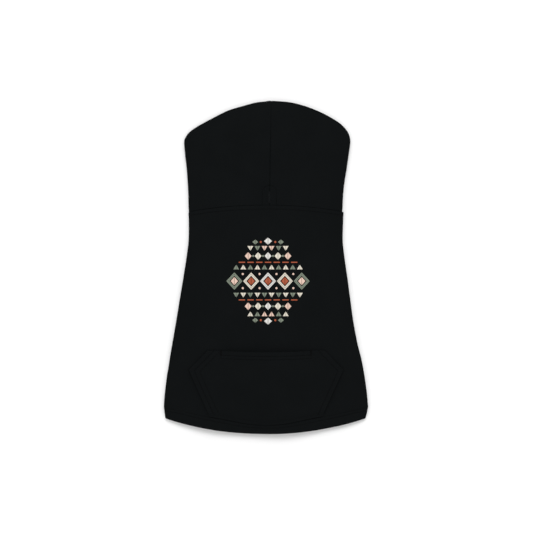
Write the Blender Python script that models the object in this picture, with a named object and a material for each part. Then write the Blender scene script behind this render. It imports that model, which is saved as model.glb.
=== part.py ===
"""A dog hoodie in black fleece, lying flat on its belly side with the hood spread out.

Metres, +Z up. The floor is z = 0, +X is the wearer's right as seen from above, and +Y runs from the
hem to the top of the hood. The origin is under the middle of the whole garment.

The cloth is one flattened tube. A line of it starts at the middle of the back, runs out to the
silhouette, folds round to the underside and ends at a side seam or at the edge of the face opening.
"across" is the place on such a line: 0 at the middle, 1 at the silhouette, 2 where the cloth meets
the floor and 3 at the end, negative on the left. "down" and "up" are the place along the body and
the hood: 0 at the neck seam, 1 at the hem or at the top of the hood.
"""

import math

import bpy
from mathutils import Vector

# Driving dimensions of the body
BODY_LENGTH = 0.305
HEM_WIDTH = 0.273
HEM_DROP = 0.020
HEM_DEPTH = 0.012
HEM_RISE_UNDER = 0.034
NECK_DROOP = 0.0087
BOW = 2.1

# Driving dimensions of the hood
HOOD_LENGTH = 0.140
HOOD_WIDTH = 0.223
FACE_WRAP = 0.060
SEAM_SHIFT = 0.0045
PEAK_SHIFT = 0.0070
CROWN_REACH = 0.045
SLIT_START = 0.002
SLIT_LENGTH = 0.0175
SLIT_GAPE = 0.0010

# How high the cloth stands, and how thick it is
LOFT = 0.025
EDGE = 0.011
ROUNDING = 2.4
BODY_WALL = 0.0022
HOOD_WALL = 0.0030
HEM_TURN = 0.0012
SEAM_GAP = 0.0003

# Side seams, leg openings and their bindings
SIDE_WRAP = 0.030
LEG_DOWN = 0.064
LEG_TO_SEAM = 0.008
LEG_WIDTH = 0.044
LEG_LENGTH = 0.062
BINDING_WIDTH = 0.010
BINDING_WALL = 0.0027
BINDING_STEPS = 32

# Pocket
POCKET_DROP = 0.193
POCKET_WIDTH = 0.206
POCKET_SAG = 0.002
POCKET_GAPE = 0.006
POCKET_WALL = 0.0020
POCKET_CLEARANCE = 0.0007
# The share of the pocket's width that stands open at its mouth.
MOUTH_SHARE = 0.82

# Soft folds
FOLD_WIDTH = 0.014
FOLD_HEIGHT = 0.0028

NECK_Y = (BODY_LENGTH + HOOD_LENGTH) / 2 - HOOD_LENGTH

# Silhouette of the body: place down the side, then half widths as shares of half the hem width.
# Columns: down, left, right.
BODY_OUTLINE = (
    (0.000, 0.756, 0.757),
    (0.136, 0.758, 0.754),
    (0.233, 0.783, 0.774),
    (0.330, 0.815, 0.800),
    (0.427, 0.850, 0.826),
    (0.524, 0.881, 0.854),
    (0.621, 0.914, 0.892),
    (0.718, 0.947, 0.939),
    (0.816, 0.977, 0.975),
    (0.932, 1.000, 1.000),
    (0.965, 0.993, 0.990),
    (1.000, 0.984, 0.972),
)

# Silhouette of the hood, from the neck to the top: out as a share of half the hood width, up as a
# share of the hood length. Columns: left out, left up, right out, right up.
HOOD_OUTLINE = (
    (0.926, 0.005, 0.915, 0.014),
    (0.935, 0.148, 0.927, 0.148),
    (0.953, 0.340, 0.963, 0.340),
    (0.976, 0.502, 0.995, 0.502),
    (0.986, 0.598, 1.012, 0.598),
    (0.975, 0.643, 1.007, 0.655),
    (0.924, 0.701, 0.971, 0.718),
    (0.815, 0.761, 0.884, 0.789),
    (0.648, 0.832, 0.768, 0.847),
    (0.465, 0.904, 0.624, 0.904),
    (0.264, 0.953, 0.444, 0.956),
    (0.108, 0.987, 0.264, 0.987),
)

# How high the middle of the back stands, as a share of the loft, and how far the back panel wraps
# under the sides, as a share of the side wrap. Columns: down, height, wrap.
BODY_HEIGHT = (
    (0.00, 0.84, 0.60),
    (0.12, 0.88, 0.55),
    (0.35, 0.98, 0.55),
    (0.60, 1.00, 0.70),
    (0.75, 0.97, 0.85),
    (0.88, 0.84, 0.95),
    (0.96, 0.69, 1.00),
    (1.00, 0.62, 1.00),
)

# The same for the hood. Columns: up, height, wrap as a share of the face wrap.
HOOD_HEIGHT = (
    (0.00, 0.84, 1.00),
    (0.10, 0.88, 0.84),
    (0.30, 0.94, 0.70),
    (0.60, 0.97, 0.62),
    (1.00, 0.94, 0.52),
)

# Soft folds of the hood: both ends, out as a share of half the hood width and up as a share of its
# length, then width and height as shares of the fold sizes. A negative height is a valley.
# Columns: out, up, out, up, width, height.
HOOD_FOLDS = (
    (-0.05, 0.32, -0.46, 0.61, 1.0, -1.0),
    (-0.02, 0.26, -0.62, 0.52, 0.9, 0.7),
    (-0.06, 0.15, -0.64, 0.36, 1.0, -0.8),
    (-0.15, 0.72, -0.66, 0.68, 1.2, 0.6),
    (0.15, 0.40, 0.54, 0.78, 1.0, -1.0),
    (0.20, 0.34, 0.72, 0.70, 1.0, 0.8),
    (0.18, 0.30, 0.70, 0.46, 0.8, -0.6),
)

# Soft folds of the body, out as a share of half the hem width and down as a share of its length.
# Columns: out, down, out, down, width, height.
BODY_FOLDS = (
    (-0.72, 0.09, -0.44, 0.15, 0.8, -0.8),
    (0.70, 0.11, 0.48, 0.19, 0.8, -0.6),
    (0.30, 0.46, 0.84, 0.68, 1.1, -1.0),
    (0.44, 0.38, 0.86, 0.56, 1.1, 0.6),
    (-0.86, 0.44, -0.60, 0.62, 1.2, 0.7),
    (-0.84, 0.58, -0.66, 0.70, 0.9, -0.8),
    (-0.60, 0.90, -0.66, 1.10, 1.6, 0.8),
    (-0.20, 0.92, -0.24, 1.10, 1.7, -0.7),
    (0.18, 0.91, 0.20, 1.10, 1.7, 0.9),
    (0.54, 0.90, 0.60, 1.10, 1.6, -0.7),
)

# Outline of the pocket, from its bottom to its mouth. Columns: up, half width as a share.
POCKET_OUTLINE = (
    (0.00, 0.730),
    (0.70, 1.000),
    (1.00, 0.753),
)


def smooth(share):
    """Eases from 0 to 1."""
    share = min(1.0, max(0.0, share))
    return share * share * (3 - 2 * share)


def read(rows, column, at):
    """A table's column at a place between its rows, on one smooth curve through them."""
    at = min(rows[-1][0], max(rows[0][0], at))
    index = next(i for i in range(len(rows) - 1) if at <= rows[i + 1][0])

    def slope(i):
        before, after = rows[max(0, i - 1)], rows[min(len(rows) - 1, i + 1)]
        return (after[column] - before[column]) / (after[0] - before[0])

    low, high = rows[index], rows[index + 1]
    span = high[0] - low[0]
    t = (at - low[0]) / span
    return (
        low[column] * (1 + 2 * t) * (1 - t) ** 2
        + slope(index) * span * t * (1 - t) ** 2
        + high[column] * t * t * (3 - 2 * t)
        - slope(index + 1) * span * t * t * (1 - t)
    )


def read_straight(rows, column, at):
    """A table's column at a place between its rows, on straight lines."""
    at = min(rows[-1][0], max(rows[0][0], at))
    low, high = next(
        pair for pair in zip(rows, rows[1:]) if at <= pair[1][0]
    )
    return low[column] + (high[column] - low[column]) * (at - low[0]) / (high[0] - low[0])


def in_metres(folds, half_width, base_y, length):
    """A fold table's rows as two ends in the plan, a width and a height."""
    return [
        (
            Vector((out_a * half_width, base_y + place_a * length)),
            Vector((out_b * half_width, base_y + place_b * length)),
            width * FOLD_WIDTH,
            height * FOLD_HEIGHT,
        )
        for out_a, place_a, out_b, place_b, width, height in folds
    ]


FOLDS = in_metres(HOOD_FOLDS, HOOD_WIDTH / 2, NECK_Y, HOOD_LENGTH) + in_metres(
    BODY_FOLDS, HEM_WIDTH / 2, NECK_Y, -BODY_LENGTH
)


def relief(x, y):
    """How far the soft folds lift or lower the cloth at a place in the plan."""
    total = 0.0
    for start, end, width, height in FOLDS:
        run = end - start
        to_place = Vector((x, y)) - start
        share = min(1.0, max(0.0, to_place.dot(run) / run.length_squared))
        away = (to_place - run * share).length
        total += height * math.exp(-((away / width) ** 2))
    return total


def bulge(reach):
    """Height of the upper layer at a share of the way out to the silhouette: 1 in the middle."""
    return max(0.0, 1 - min(1.0, reach) ** ROUNDING) ** 0.5


def upper_z(x, y, reach, middle_height):
    """Height of the upper layer, with its folds, which die out at the silhouette."""
    high = bulge(reach)
    return EDGE / 2 + (middle_height - EDGE / 2) * high + relief(x, y) * smooth(high)


# The body


def body_half(side, down):
    """Half width of the body's silhouette on one side."""
    return HEM_WIDTH / 2 * read(BODY_OUTLINE, 2 if side > 0 else 1, down)


def body_middle_y(down):
    return NECK_Y - BODY_LENGTH * down


def body_side_y(down):
    side_length = BODY_LENGTH - NECK_DROOP - HEM_DROP
    return NECK_Y - NECK_DROOP - side_length * down


def body_upper_y(down, reach):
    """The line across the back bows down at the neck seam and up at the hem."""
    middle = body_middle_y(down)
    return middle + (body_side_y(down) - middle) * reach**BOW


def body_under_y(side, down, out):
    """On the underside the lines climb towards the belly's shorter hem."""
    climb = HEM_RISE_UNDER * down**3
    return body_side_y(down) + climb * (1 - (out / body_half(side, down)) ** 2)


def body_point(down, across):
    """Outer surface of the body."""
    side = 1 if across >= 0 else -1
    across = abs(across)
    half = body_half(side, down)
    bend = EDGE / 2
    if across <= 1:
        reach = math.sin(across * math.pi / 2) ** (2 / ROUNDING)
        x = side * half * reach
        y = body_upper_y(down, reach)
        z = upper_z(x, y, reach, LOFT * read(BODY_HEIGHT, 1, down))
        return Vector((x, y, z))
    if across <= 2:
        turn = (across - 1) * math.pi / 2
        out = half - bend + bend * math.cos(turn)
        return Vector((side * out, body_under_y(side, down, out), bend - bend * math.sin(turn)))
    wrap = SIDE_WRAP * read(BODY_HEIGHT, 2, down)
    out = half - bend - (wrap - bend) * (across - 2)
    return Vector((side * out, body_under_y(side, down, out), 0.0))


def back_height(x, y):
    """Height of the back's outer surface at a place in the plan, found by halving."""
    side = 1 if x >= 0 else -1
    low, high = 0.0, 1.0
    for _ in range(30):
        down = (low + high) / 2
        reach = min(1.0, abs(x) / body_half(side, down))
        if body_upper_y(down, reach) > y:
            low = down
        else:
            high = down
    return upper_z(x, y, reach, LOFT * read(BODY_HEIGHT, 1, down))


def back_normal(x, y):
    """The back's upward normal at a place in the plan."""
    step = 0.002
    slope_x = (back_height(x + step, y) - back_height(x - step, y)) / (2 * step)
    slope_y = (back_height(x, y + step) - back_height(x, y - step)) / (2 * step)
    return Vector((-slope_x, -slope_y, 1.0)).normalized()


def hem_wall(down):
    """The body's wall is thicker where the hem is turned up."""
    to_hem = (1 - down) * BODY_LENGTH
    return BODY_WALL + HEM_TURN * (1 - smooth((to_hem - HEM_DEPTH) / BODY_WALL))


# The hood


def neck_y(x):
    """The neck seam's line in the plan."""
    side = 1 if x >= 0 else -1
    return body_upper_y(0, min(1.0, abs(x) / body_half(side, 0)))


def curve_through(points, steps=8):
    """A dense smooth curve through the points, with the length up to each of its points."""
    ends = [points[0] * 2 - points[1], *points, points[-1] * 2 - points[-2]]
    curve = []
    for a, b, c, d in zip(ends, ends[1:], ends[2:], ends[3:]):
        for step in range(steps):
            t = step / steps
            curve.append(
                (
                    b * 2
                    + (c - a) * t
                    + (a * 2 - b * 5 + c * 4 - d) * t**2
                    + (b * 3 - a - c * 3 + d) * t**3
                )
                / 2
            )
    curve.append(points[-1])
    lengths = [0.0]
    for a, b in zip(curve, curve[1:]):
        lengths.append(lengths[-1] + (b - a).length)
    return curve, lengths


def hood_silhouette(side):
    """The hood's silhouette on one side, from the neck seam to the top."""
    columns = (2, 3) if side > 0 else (0, 1)
    points = [
        Vector((side * HOOD_WIDTH / 2 * row[columns[0]], NECK_Y + HOOD_LENGTH * row[columns[1]]))
        for row in HOOD_OUTLINE
    ]
    points[0].y = neck_y(points[0].x)
    points.append(Vector((PEAK_SHIFT, NECK_Y + HOOD_LENGTH)))
    return curve_through(points)


SILHOUETTES = {side: hood_silhouette(side) for side in (-1, 1)}


def hood_edge(side, up):
    """The silhouette's point at a share of its length."""
    curve, lengths = SILHOUETTES[side]
    target = lengths[-1] * up
    index = next((i for i in range(1, len(curve)) if lengths[i] >= target), len(curve) - 1)
    share = (target - lengths[index - 1]) / (lengths[index] - lengths[index - 1])
    return curve[index - 1].lerp(curve[index], share)


SPINE_LENGTH = HOOD_LENGTH - CROWN_REACH
FAN = 1.6
# The hood's first column, next to the centre seam: small, with a sign that tells its side.
CENTRE = 1e-6


def spine_rise(up):
    """How far above the neck a line of the hood leaves the centre seam."""
    return SPINE_LENGTH * (1 - (1 - up) ** FAN)


def up_at_rise(rise):
    """The line of the hood that leaves the centre seam at this height above the neck."""
    return 1 - (1 - rise / SPINE_LENGTH) ** (1 / FAN)


def slit_half_gape(rise):
    """Half the width of the open centre seam, which is wider at the leash opening."""
    share = (rise - SLIT_START) / SLIT_LENGTH
    open_here = SLIT_GAPE * math.sin(math.pi * share) ** 0.6 if 0 < share < 1 else 0.0
    return (SEAM_GAP + open_here) / 2


def hood_line(side, up):
    """Where a line of the hood leaves the centre seam, where it meets the silhouette, and the way
    it heads there."""
    rise = spine_rise(up)
    shift = SEAM_SHIFT + (PEAK_SHIFT - SEAM_SHIFT) * rise / HOOD_LENGTH
    start = Vector((shift + side * slit_half_gape(rise), neck_y(shift) + rise))
    end = hood_edge(side, up) + Vector((side * SEAM_GAP / 2, 0)) * smooth(up)
    to_edge = (end - start).normalized()
    return start, end, Vector((side, 0.0)).lerp(to_edge, smooth(up / 0.2)).normalized()


def hood_point(up, across):
    """Outer surface of the hood."""
    side = 1 if across >= 0 else -1
    across = abs(across)
    start, end, heading = hood_line(side, up)
    bend = EDGE / 2
    if across <= 1:
        reach = math.sin(across * math.pi / 2) ** (2 / ROUNDING)
        place = start.lerp(end, reach)
        chord = neck_y(start.x) + (neck_y(end.x) - neck_y(start.x)) * reach
        place.y += (neck_y(place.x) - chord) * (1 - smooth(up / 0.5))
        height = LOFT * read(HOOD_HEIGHT, 1, up)
        return Vector((place.x, place.y, upper_z(place.x, place.y, reach, height)))
    if across <= 2:
        turn = (across - 1) * math.pi / 2
        place = end - heading * (bend - bend * math.cos(turn))
        return Vector((place.x, place.y, bend - bend * math.sin(turn)))
    wrap = FACE_WRAP * read(HOOD_HEIGHT, 2, up)
    place = end - heading * (bend + (wrap - bend) * (across - 2))
    return Vector((place.x, place.y, 0.0))


def hood_normal(up, across):
    """The hood's outward direction, in the upright plane of its line."""
    side = 1 if across >= 0 else -1
    heading = hood_line(side, up)[2]
    step = 0.004
    inner, outer = max(0.0, abs(across) - step), min(3.0, abs(across) + step)
    along = hood_point(up, side * outer) - hood_point(up, side * max(inner, CENTRE / 2))
    flat = Vector((heading.x, heading.y)).dot(along.xy)
    return Vector((-heading.x * along.z, -heading.y * along.z, flat)).normalized()


# Turning a surface into a cloth wall


def leaning_normal(point, rows, columns):
    """A function for the outward direction of a surface, from points a little to each side."""
    step = 0.004
    row_turn = 1 if rows[-1] > rows[0] else -1
    column_turn = 1 if columns[-1] > columns[0] else -1

    def normal(row, column):
        row_ends = [min(max(rows), max(min(rows), row + d)) for d in (-step, step)]
        column_ends = [min(max(columns), max(min(columns), column + d)) for d in (-step, step)]
        along = point(row_ends[1], column) - point(row_ends[0], column)
        sideways = point(row, column_ends[1]) - point(row, column_ends[0])
        return along.cross(sideways).normalized() * row_turn * column_turn

    return normal


def cloth_object(name, point, normal, rows, columns, wall, material, seam=None):
    """A closed wall of cloth. Its outer face is point(row, column) and its inner face lies one wall
    further in along normal(row, column). Rows run down the garment and columns from left to right
    as the outer face is seen. seam(row, column) names the directions across a seam, in which the
    wall's edge there has no lean, so that the edges of two panels meet squarely."""
    outer, inner = [], []
    for row in rows:
        for column in columns:
            place = point(row, column)
            outward = normal(row, column)
            for direction in seam(row, column) if seam else "":
                setattr(outward, direction, 0.0)
            thickness = wall(row) if callable(wall) else wall
            outer.append(place)
            inner.append(place - outward.normalized() * thickness)
    wide, count = len(columns), len(outer)
    faces = []
    for i in range(len(rows) - 1):
        for j in range(wide - 1):
            a, b = i * wide + j, (i + 1) * wide + j
            faces.append((a, b, b + 1, a + 1))
            faces.append((a + 1 + count, b + 1 + count, b + count, a + count))
    rim = (
        [i * wide for i in range(len(rows) - 1, -1, -1)]
        + list(range(1, wide))
        + [(i + 1) * wide - 1 for i in range(1, len(rows))]
        + list(range(count - 2, count - wide, -1))
    )
    for a, b in zip(rim, rim[1:] + rim[:1]):
        faces.append((a, b, b + count, a + count))
    return mesh_object(name, outer + inner, faces, material)


def mesh_object(name, points, faces, material):
    mesh = bpy.data.meshes.new(name)
    mesh.from_pydata([tuple(p) for p in points], [], faces)
    mesh.materials.append(material)
    mesh.shade_smooth()
    mesh.set_sharp_from_angle(angle=math.radians(50))
    mesh.update()
    made = bpy.data.objects.new(name, mesh)
    bpy.context.scene.collection.objects.link(made)
    return made


def cloth_material(name, colour, roughness):
    material = bpy.data.materials.new(name)
    material.use_nodes = True
    shader = material.node_tree.nodes["Principled BSDF"]
    shader.inputs["Base Color"].default_value = (*colour, 1.0)
    shader.inputs["Roughness"].default_value = roughness
    shader.inputs["Metallic"].default_value = 0.0
    return material


def even(start, stop, steps):
    return [start + (stop - start) * i / steps for i in range(steps + 1)]


# The pieces


ACROSS = even(0.0, 1.0, 11)[1:] + [1.34, 1.67, 2.0]


NECK_GAP = SEAM_GAP / BODY_LENGTH


def body_rows():
    """The places down the body that both of its panels use, so that their side seams match."""
    hem_start = 1 - HEM_DEPTH / BODY_LENGTH
    hem_step = hem_start - BODY_WALL / BODY_LENGTH
    return even(NECK_GAP, hem_step, 19) + [hem_start, 1.0]


def back_panel(material):
    """The back, wrapped round both sides to the side seams."""
    columns = [-a for a in reversed(ACROSS + [3.0])] + [0.0] + ACROSS + [3.0]

    def seam(down, across):
        return "y" if down == NECK_GAP else ""

    rows = body_rows()
    normal = leaning_normal(body_point, rows, columns)
    return cloth_object("back_panel", body_point, normal, rows, columns, hem_wall, material, seam)


def belly_seam(side, down):
    """How far out the side seam lies on the underside."""
    return body_half(side, down) - SIDE_WRAP * read(BODY_HEIGHT, 2, down)


def belly_point(down, share):
    """Outer face of the belly panel, which lies on the floor. share runs from right to left."""
    right = belly_seam(1, down) - SEAM_GAP
    left = belly_seam(-1, down) - SEAM_GAP
    x = right - (right + left) * share
    side = 1 if x >= 0 else -1
    return Vector((x, body_under_y(side, down, abs(x)), 0.0))


def oval(centre, half_wide, half_long, steps):
    """Points round an upright oval in the plan, counterclockwise."""
    turns = [2 * math.pi * i / steps for i in range(steps)]
    return [
        centre + Vector((half_wide * math.cos(t), half_long * math.sin(t))) for t in turns
    ]


def leg_centre(side):
    """The middle of a leg opening, whose binding keeps clear of the side seam."""
    down = LEG_DOWN / (body_side_y(0) - body_side_y(1))
    out = belly_seam(side, down) - LEG_TO_SEAM - BINDING_WIDTH - LEG_WIDTH / 2
    return Vector((side * out, body_side_y(down)))


def leg_cutter(side):
    """An oval prism that cuts a leg opening, with room for its binding."""
    grown = BINDING_WIDTH + SEAM_GAP
    ring = oval(leg_centre(side), LEG_WIDTH / 2 + grown, LEG_LENGTH / 2 + grown, BINDING_STEPS)
    bottom = [Vector((p.x, p.y, -LOFT)) for p in ring]
    top = [Vector((p.x, p.y, LOFT)) for p in ring]
    faces = [tuple(range(BINDING_STEPS - 1, -1, -1))]
    faces.append(tuple(range(BINDING_STEPS, 2 * BINDING_STEPS)))
    for i in range(BINDING_STEPS):
        j = (i + 1) % BINDING_STEPS
        faces.append((i, j, j + BINDING_STEPS, i + BINDING_STEPS))
    mesh = bpy.data.meshes.new("leg_cutter")
    mesh.from_pydata([tuple(p) for p in bottom + top], [], faces)
    cutter = bpy.data.objects.new("leg_cutter", mesh)
    bpy.context.scene.collection.objects.link(cutter)
    cutter.hide_render = True
    cutter.display_type = "WIRE"
    return cutter


def belly_panel(material):
    """The underside of the body between the side seams, with two leg openings."""
    rows, shares = body_rows(), even(0.0, 1.0, 10)
    upward = Vector((0.0, 0.0, -1.0))
    panel = cloth_object(
        "belly_panel", belly_point, lambda *place: upward.copy(), rows, shares, BODY_WALL, material
    )
    for side in (-1, 1):
        cut = panel.modifiers.new(f"leg_opening_{side}", "BOOLEAN")
        cut.operation = "DIFFERENCE"
        cut.solver = "EXACT"
        cut.object = leg_cutter(side)
    return panel


def leg_binding(side, material):
    """The ribbed binding round a leg opening: a flat ring with a rounded inner edge."""
    corner = BINDING_WALL / 2
    section = (
        (0.0, corner),
        (0.25 * corner, BINDING_WALL - 0.25 * corner),
        (corner, BINDING_WALL),
        (BINDING_WIDTH, BINDING_WALL),
        (BINDING_WIDTH, 0.0),
        (corner, 0.0),
        (0.25 * corner, 0.25 * corner),
    )
    points = []
    for out, height in section:
        ring = oval(leg_centre(side), LEG_WIDTH / 2 + out, LEG_LENGTH / 2 + out, BINDING_STEPS)
        points += [Vector((p.x, p.y, height)) for p in ring]
    faces = []
    for i in range(len(section)):
        for j in range(BINDING_STEPS):
            k = (j + 1) % BINDING_STEPS
            a, b = i * BINDING_STEPS, ((i + 1) % len(section)) * BINDING_STEPS
            faces.append((a + j, b + j, b + k, a + k))
    name = "leg_binding_right" if side > 0 else "leg_binding_left"
    return mesh_object(name, points, faces, material)


def hood_panel(side, material):
    """One hood panel, from the centre seam over the fold to the edge of the face opening."""
    slit_end = SLIT_START + SLIT_LENGTH
    slit_rises = even(SLIT_START, slit_end, 6)
    ups = [0.0] + [up_at_rise(rise) for rise in slit_rises]
    ups += even(ups[-1], 1.0, 22)[1:]
    columns = [CENTRE] + ACROSS + [2.5, 3.0]
    if side < 0:
        columns = [-c for c in reversed(columns)]
    name = "hood_right" if side > 0 else "hood_left"

    def seam(up, across):
        at_neck = "y" if up == 0.0 else ""
        at_centre = "x" if up == 1.0 or abs(across) == CENTRE else ""
        return at_neck + at_centre

    return cloth_object(
        name, hood_point, hood_normal, ups[::-1], columns, HOOD_WALL, material, seam
    )


def pocket_point(up, share):
    """Outer face of the pocket. share runs from -1 at the left to 1 at the right."""
    half = POCKET_WIDTH / 2 * read_straight(POCKET_OUTLINE, 1, up)
    x = share * half
    side = 1 if x >= 0 else -1
    down = 1 - HEM_DEPTH / BODY_LENGTH
    bottom = body_upper_y(down, abs(x) / body_half(side, down))
    top = NECK_Y - POCKET_DROP - POCKET_SAG * max(0.0, 1 - (share / MOUTH_SHARE) ** 2)
    y = bottom + (top - bottom) * up
    full = max(0.0, 1 - (share / MOUTH_SHARE) ** 2) ** 1.5 * smooth(up / 0.6)
    offset = POCKET_CLEARANCE + POCKET_WALL + POCKET_GAPE * full
    return Vector((x, y, back_height(x, y))) + back_normal(x, y) * offset


def pocket(material):
    """The patch pocket on the back, open at its upper edge."""
    rows = [1.0, 0.93, 0.82, 0.70, 0.56, 0.42, 0.28, 0.14, 0.0]
    shares = even(-1.0, 1.0, 22)
    normal = leaning_normal(pocket_point, rows, shares)
    return cloth_object("pocket", pocket_point, normal, rows, shares, POCKET_WALL, material)


def main():
    for old in list(bpy.data.objects):
        bpy.data.objects.remove(old)
    fleece = cloth_material("black_fleece", (0.0075, 0.0085, 0.0090), 0.95)
    rib = cloth_material("black_rib", (0.0065, 0.0070, 0.0075), 0.92)
    back_panel(fleece)
    belly_panel(fleece)
    for side in (-1, 1):
        hood_panel(side, fleece)
        leg_binding(side, rib)
    pocket(fleece)


main()
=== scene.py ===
# %% [markdown]
# # A dog hoodie, lying flat
#
# A black fleece hoodie for a small dog lies on its belly side. Every panel of cloth is made again
# here at full fineness, with its seams, hems, stitches and knit, and stands for the plain solid of
# the same name. The steps are: the shape of the cloth, the finishes, the panels, the stitches, the
# printed picture, and last the floor, the light and the camera.

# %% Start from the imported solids
import math

import bmesh
import bpy
import numpy as np
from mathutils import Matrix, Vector, noise
from mathutils.bvhtree import BVHTree


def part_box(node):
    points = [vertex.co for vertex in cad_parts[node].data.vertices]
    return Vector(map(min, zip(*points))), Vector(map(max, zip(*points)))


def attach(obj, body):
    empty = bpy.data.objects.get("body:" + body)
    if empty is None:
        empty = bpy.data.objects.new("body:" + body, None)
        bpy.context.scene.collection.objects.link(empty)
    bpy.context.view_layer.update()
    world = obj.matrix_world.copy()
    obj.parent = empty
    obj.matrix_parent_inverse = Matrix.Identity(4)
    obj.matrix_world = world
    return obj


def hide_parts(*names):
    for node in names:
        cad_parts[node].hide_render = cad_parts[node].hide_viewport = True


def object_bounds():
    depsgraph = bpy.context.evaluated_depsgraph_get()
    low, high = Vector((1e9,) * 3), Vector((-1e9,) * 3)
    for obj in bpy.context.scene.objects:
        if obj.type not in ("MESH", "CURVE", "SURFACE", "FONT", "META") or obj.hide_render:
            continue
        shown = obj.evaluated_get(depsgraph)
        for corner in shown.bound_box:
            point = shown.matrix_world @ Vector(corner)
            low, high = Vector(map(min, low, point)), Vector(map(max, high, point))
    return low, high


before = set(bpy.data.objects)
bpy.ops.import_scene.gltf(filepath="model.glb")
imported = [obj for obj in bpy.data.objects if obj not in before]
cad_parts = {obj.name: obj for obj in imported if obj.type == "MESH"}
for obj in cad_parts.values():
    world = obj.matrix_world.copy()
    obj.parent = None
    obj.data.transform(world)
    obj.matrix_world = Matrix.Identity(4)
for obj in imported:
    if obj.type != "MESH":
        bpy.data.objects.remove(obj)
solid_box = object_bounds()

MM = 0.001
ROOT = "root"
print("nodes:", ", ".join(sorted(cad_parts)))
print("solid box:", [[round(float(x), 4) for x in corner] for corner in solid_box])

# %% [markdown]
# ## The shape of the cloth
#
# The garment is one flattened tube. A line of cloth starts at the middle of the back, runs out to
# the silhouette, folds round to the underside and ends at a side seam or at the face opening. The
# shape could be sculpted by hand, but a formula for such lines lets every later step ask where a
# seam or a stitch lies and which way the cloth faces there. The formula works on whole arrays of
# places at once, so a fine grid takes no longer to write down than a coarse one.

# %% Sizes of the garment
back_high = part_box("back_panel")[1]
BODY_LENGTH = 0.305
HEM_WIDTH = 0.273
HEM_DROP = 0.020
HEM_RISE_UNDER = 0.034
NECK_DROOP = 0.0087
BOW = 2.1
HOOD_LENGTH = 0.140
HOOD_WIDTH = 0.223
FACE_WRAP = 0.060
SEAM_SHIFT = 0.0045
PEAK_SHIFT = 0.0070
CROWN_REACH = 0.045
SLIT_START = 0.002
SLIT_LENGTH = 0.0175
SLIT_GAPE = 0.00006
LOFT = 0.025
EDGE = 0.011
ROUNDING = 2.4
BODY_WALL = 0.0022
HOOD_WALL = 0.0030
HEM_TURN = 0.0012
SEAM_GAP = 0.00004
SEAM_ROUND = 0.0003
SIDE_WRAP = 0.030
FAN = 1.6
CENTRE = 1e-6
FOLD_WIDTH = 0.014
FOLD_HEIGHT = 0.0028
NECK_Y = (BODY_LENGTH + HOOD_LENGTH) / 2 - HOOD_LENGTH
print("the neck seam lies at", NECK_Y, "and the solid back ends at", round(float(back_high[1]), 4))

# Silhouette of the body. Columns: down, then the left and right half widths as shares.
BODY_OUTLINE = (
    (0.000, 0.756, 0.757),
    (0.136, 0.758, 0.754),
    (0.233, 0.783, 0.774),
    (0.330, 0.815, 0.800),
    (0.427, 0.850, 0.826),
    (0.524, 0.881, 0.854),
    (0.621, 0.914, 0.892),
    (0.718, 0.947, 0.939),
    (0.816, 0.977, 0.975),
    (0.932, 1.000, 1.000),
    (0.965, 0.993, 0.990),
    (1.000, 0.984, 0.972),
)

# Silhouette of the hood. Columns: left out, left up, right out, right up, as shares.
HOOD_OUTLINE = (
    (0.926, 0.005, 0.915, 0.014),
    (0.935, 0.148, 0.927, 0.148),
    (0.953, 0.340, 0.963, 0.340),
    (0.976, 0.502, 0.995, 0.502),
    (0.986, 0.598, 1.012, 0.598),
    (0.975, 0.643, 1.007, 0.655),
    (0.924, 0.701, 0.971, 0.718),
    (0.815, 0.761, 0.884, 0.789),
    (0.648, 0.832, 0.768, 0.847),
    (0.465, 0.904, 0.624, 0.904),
    (0.264, 0.953, 0.444, 0.956),
    (0.108, 0.987, 0.264, 0.987),
)

# Columns: down, height as a share of the loft, wrap as a share of the side wrap.
BODY_HEIGHT = (
    (0.00, 0.84, 0.60),
    (0.12, 0.88, 0.55),
    (0.35, 0.98, 0.55),
    (0.60, 1.00, 0.70),
    (0.75, 0.97, 0.85),
    (0.88, 0.84, 0.95),
    (0.96, 0.69, 1.00),
    (1.00, 0.62, 1.00),
)

# Columns: up, height as a share of the loft, wrap as a share of the face wrap.
HOOD_HEIGHT = (
    (0.00, 0.84, 1.00),
    (0.10, 0.88, 0.84),
    (0.30, 0.94, 0.70),
    (0.60, 0.97, 0.62),
    (1.00, 0.94, 0.52),
)

# Soft folds. Columns: out, along, out, along for the two ends, then width and height as shares.
HOOD_FOLDS = (
    (-0.05, 0.32, -0.46, 0.61, 1.0, -1.0),
    (-0.02, 0.26, -0.62, 0.52, 0.9, 0.7),
    (-0.06, 0.15, -0.64, 0.36, 1.0, -0.8),
    (-0.15, 0.72, -0.66, 0.68, 1.2, 0.6),
    (0.15, 0.40, 0.54, 0.78, 1.0, -1.0),
    (0.20, 0.34, 0.72, 0.70, 1.0, 0.8),
    (0.18, 0.30, 0.70, 0.46, 0.8, -0.6),
)
BODY_FOLDS = (
    (-0.72, 0.09, -0.44, 0.15, 0.8, -0.8),
    (0.70, 0.11, 0.48, 0.19, 0.8, -0.6),
    (0.30, 0.46, 0.84, 0.68, 1.1, -1.0),
    (0.44, 0.38, 0.86, 0.56, 1.1, 0.6),
    (-0.86, 0.44, -0.60, 0.62, 1.2, 0.7),
    (-0.84, 0.58, -0.66, 0.70, 0.9, -0.8),
    (-0.60, 0.90, -0.66, 1.10, 1.6, 0.8),
    (-0.20, 0.92, -0.24, 1.10, 1.7, -0.7),
    (0.18, 0.91, 0.20, 1.10, 1.7, 0.9),
    (0.54, 0.90, 0.60, 1.10, 1.6, -0.7),
)

# %% Helpers for smooth shapes


def smooth(share):
    """Eases from 0 to 1."""
    share = np.clip(share, 0.0, 1.0)
    return share * share * (3 - 2 * share)


def dent(distance, width):
    """A soft bump that is 1 at distance 0."""
    return np.exp(-((distance / width) ** 2))


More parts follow.
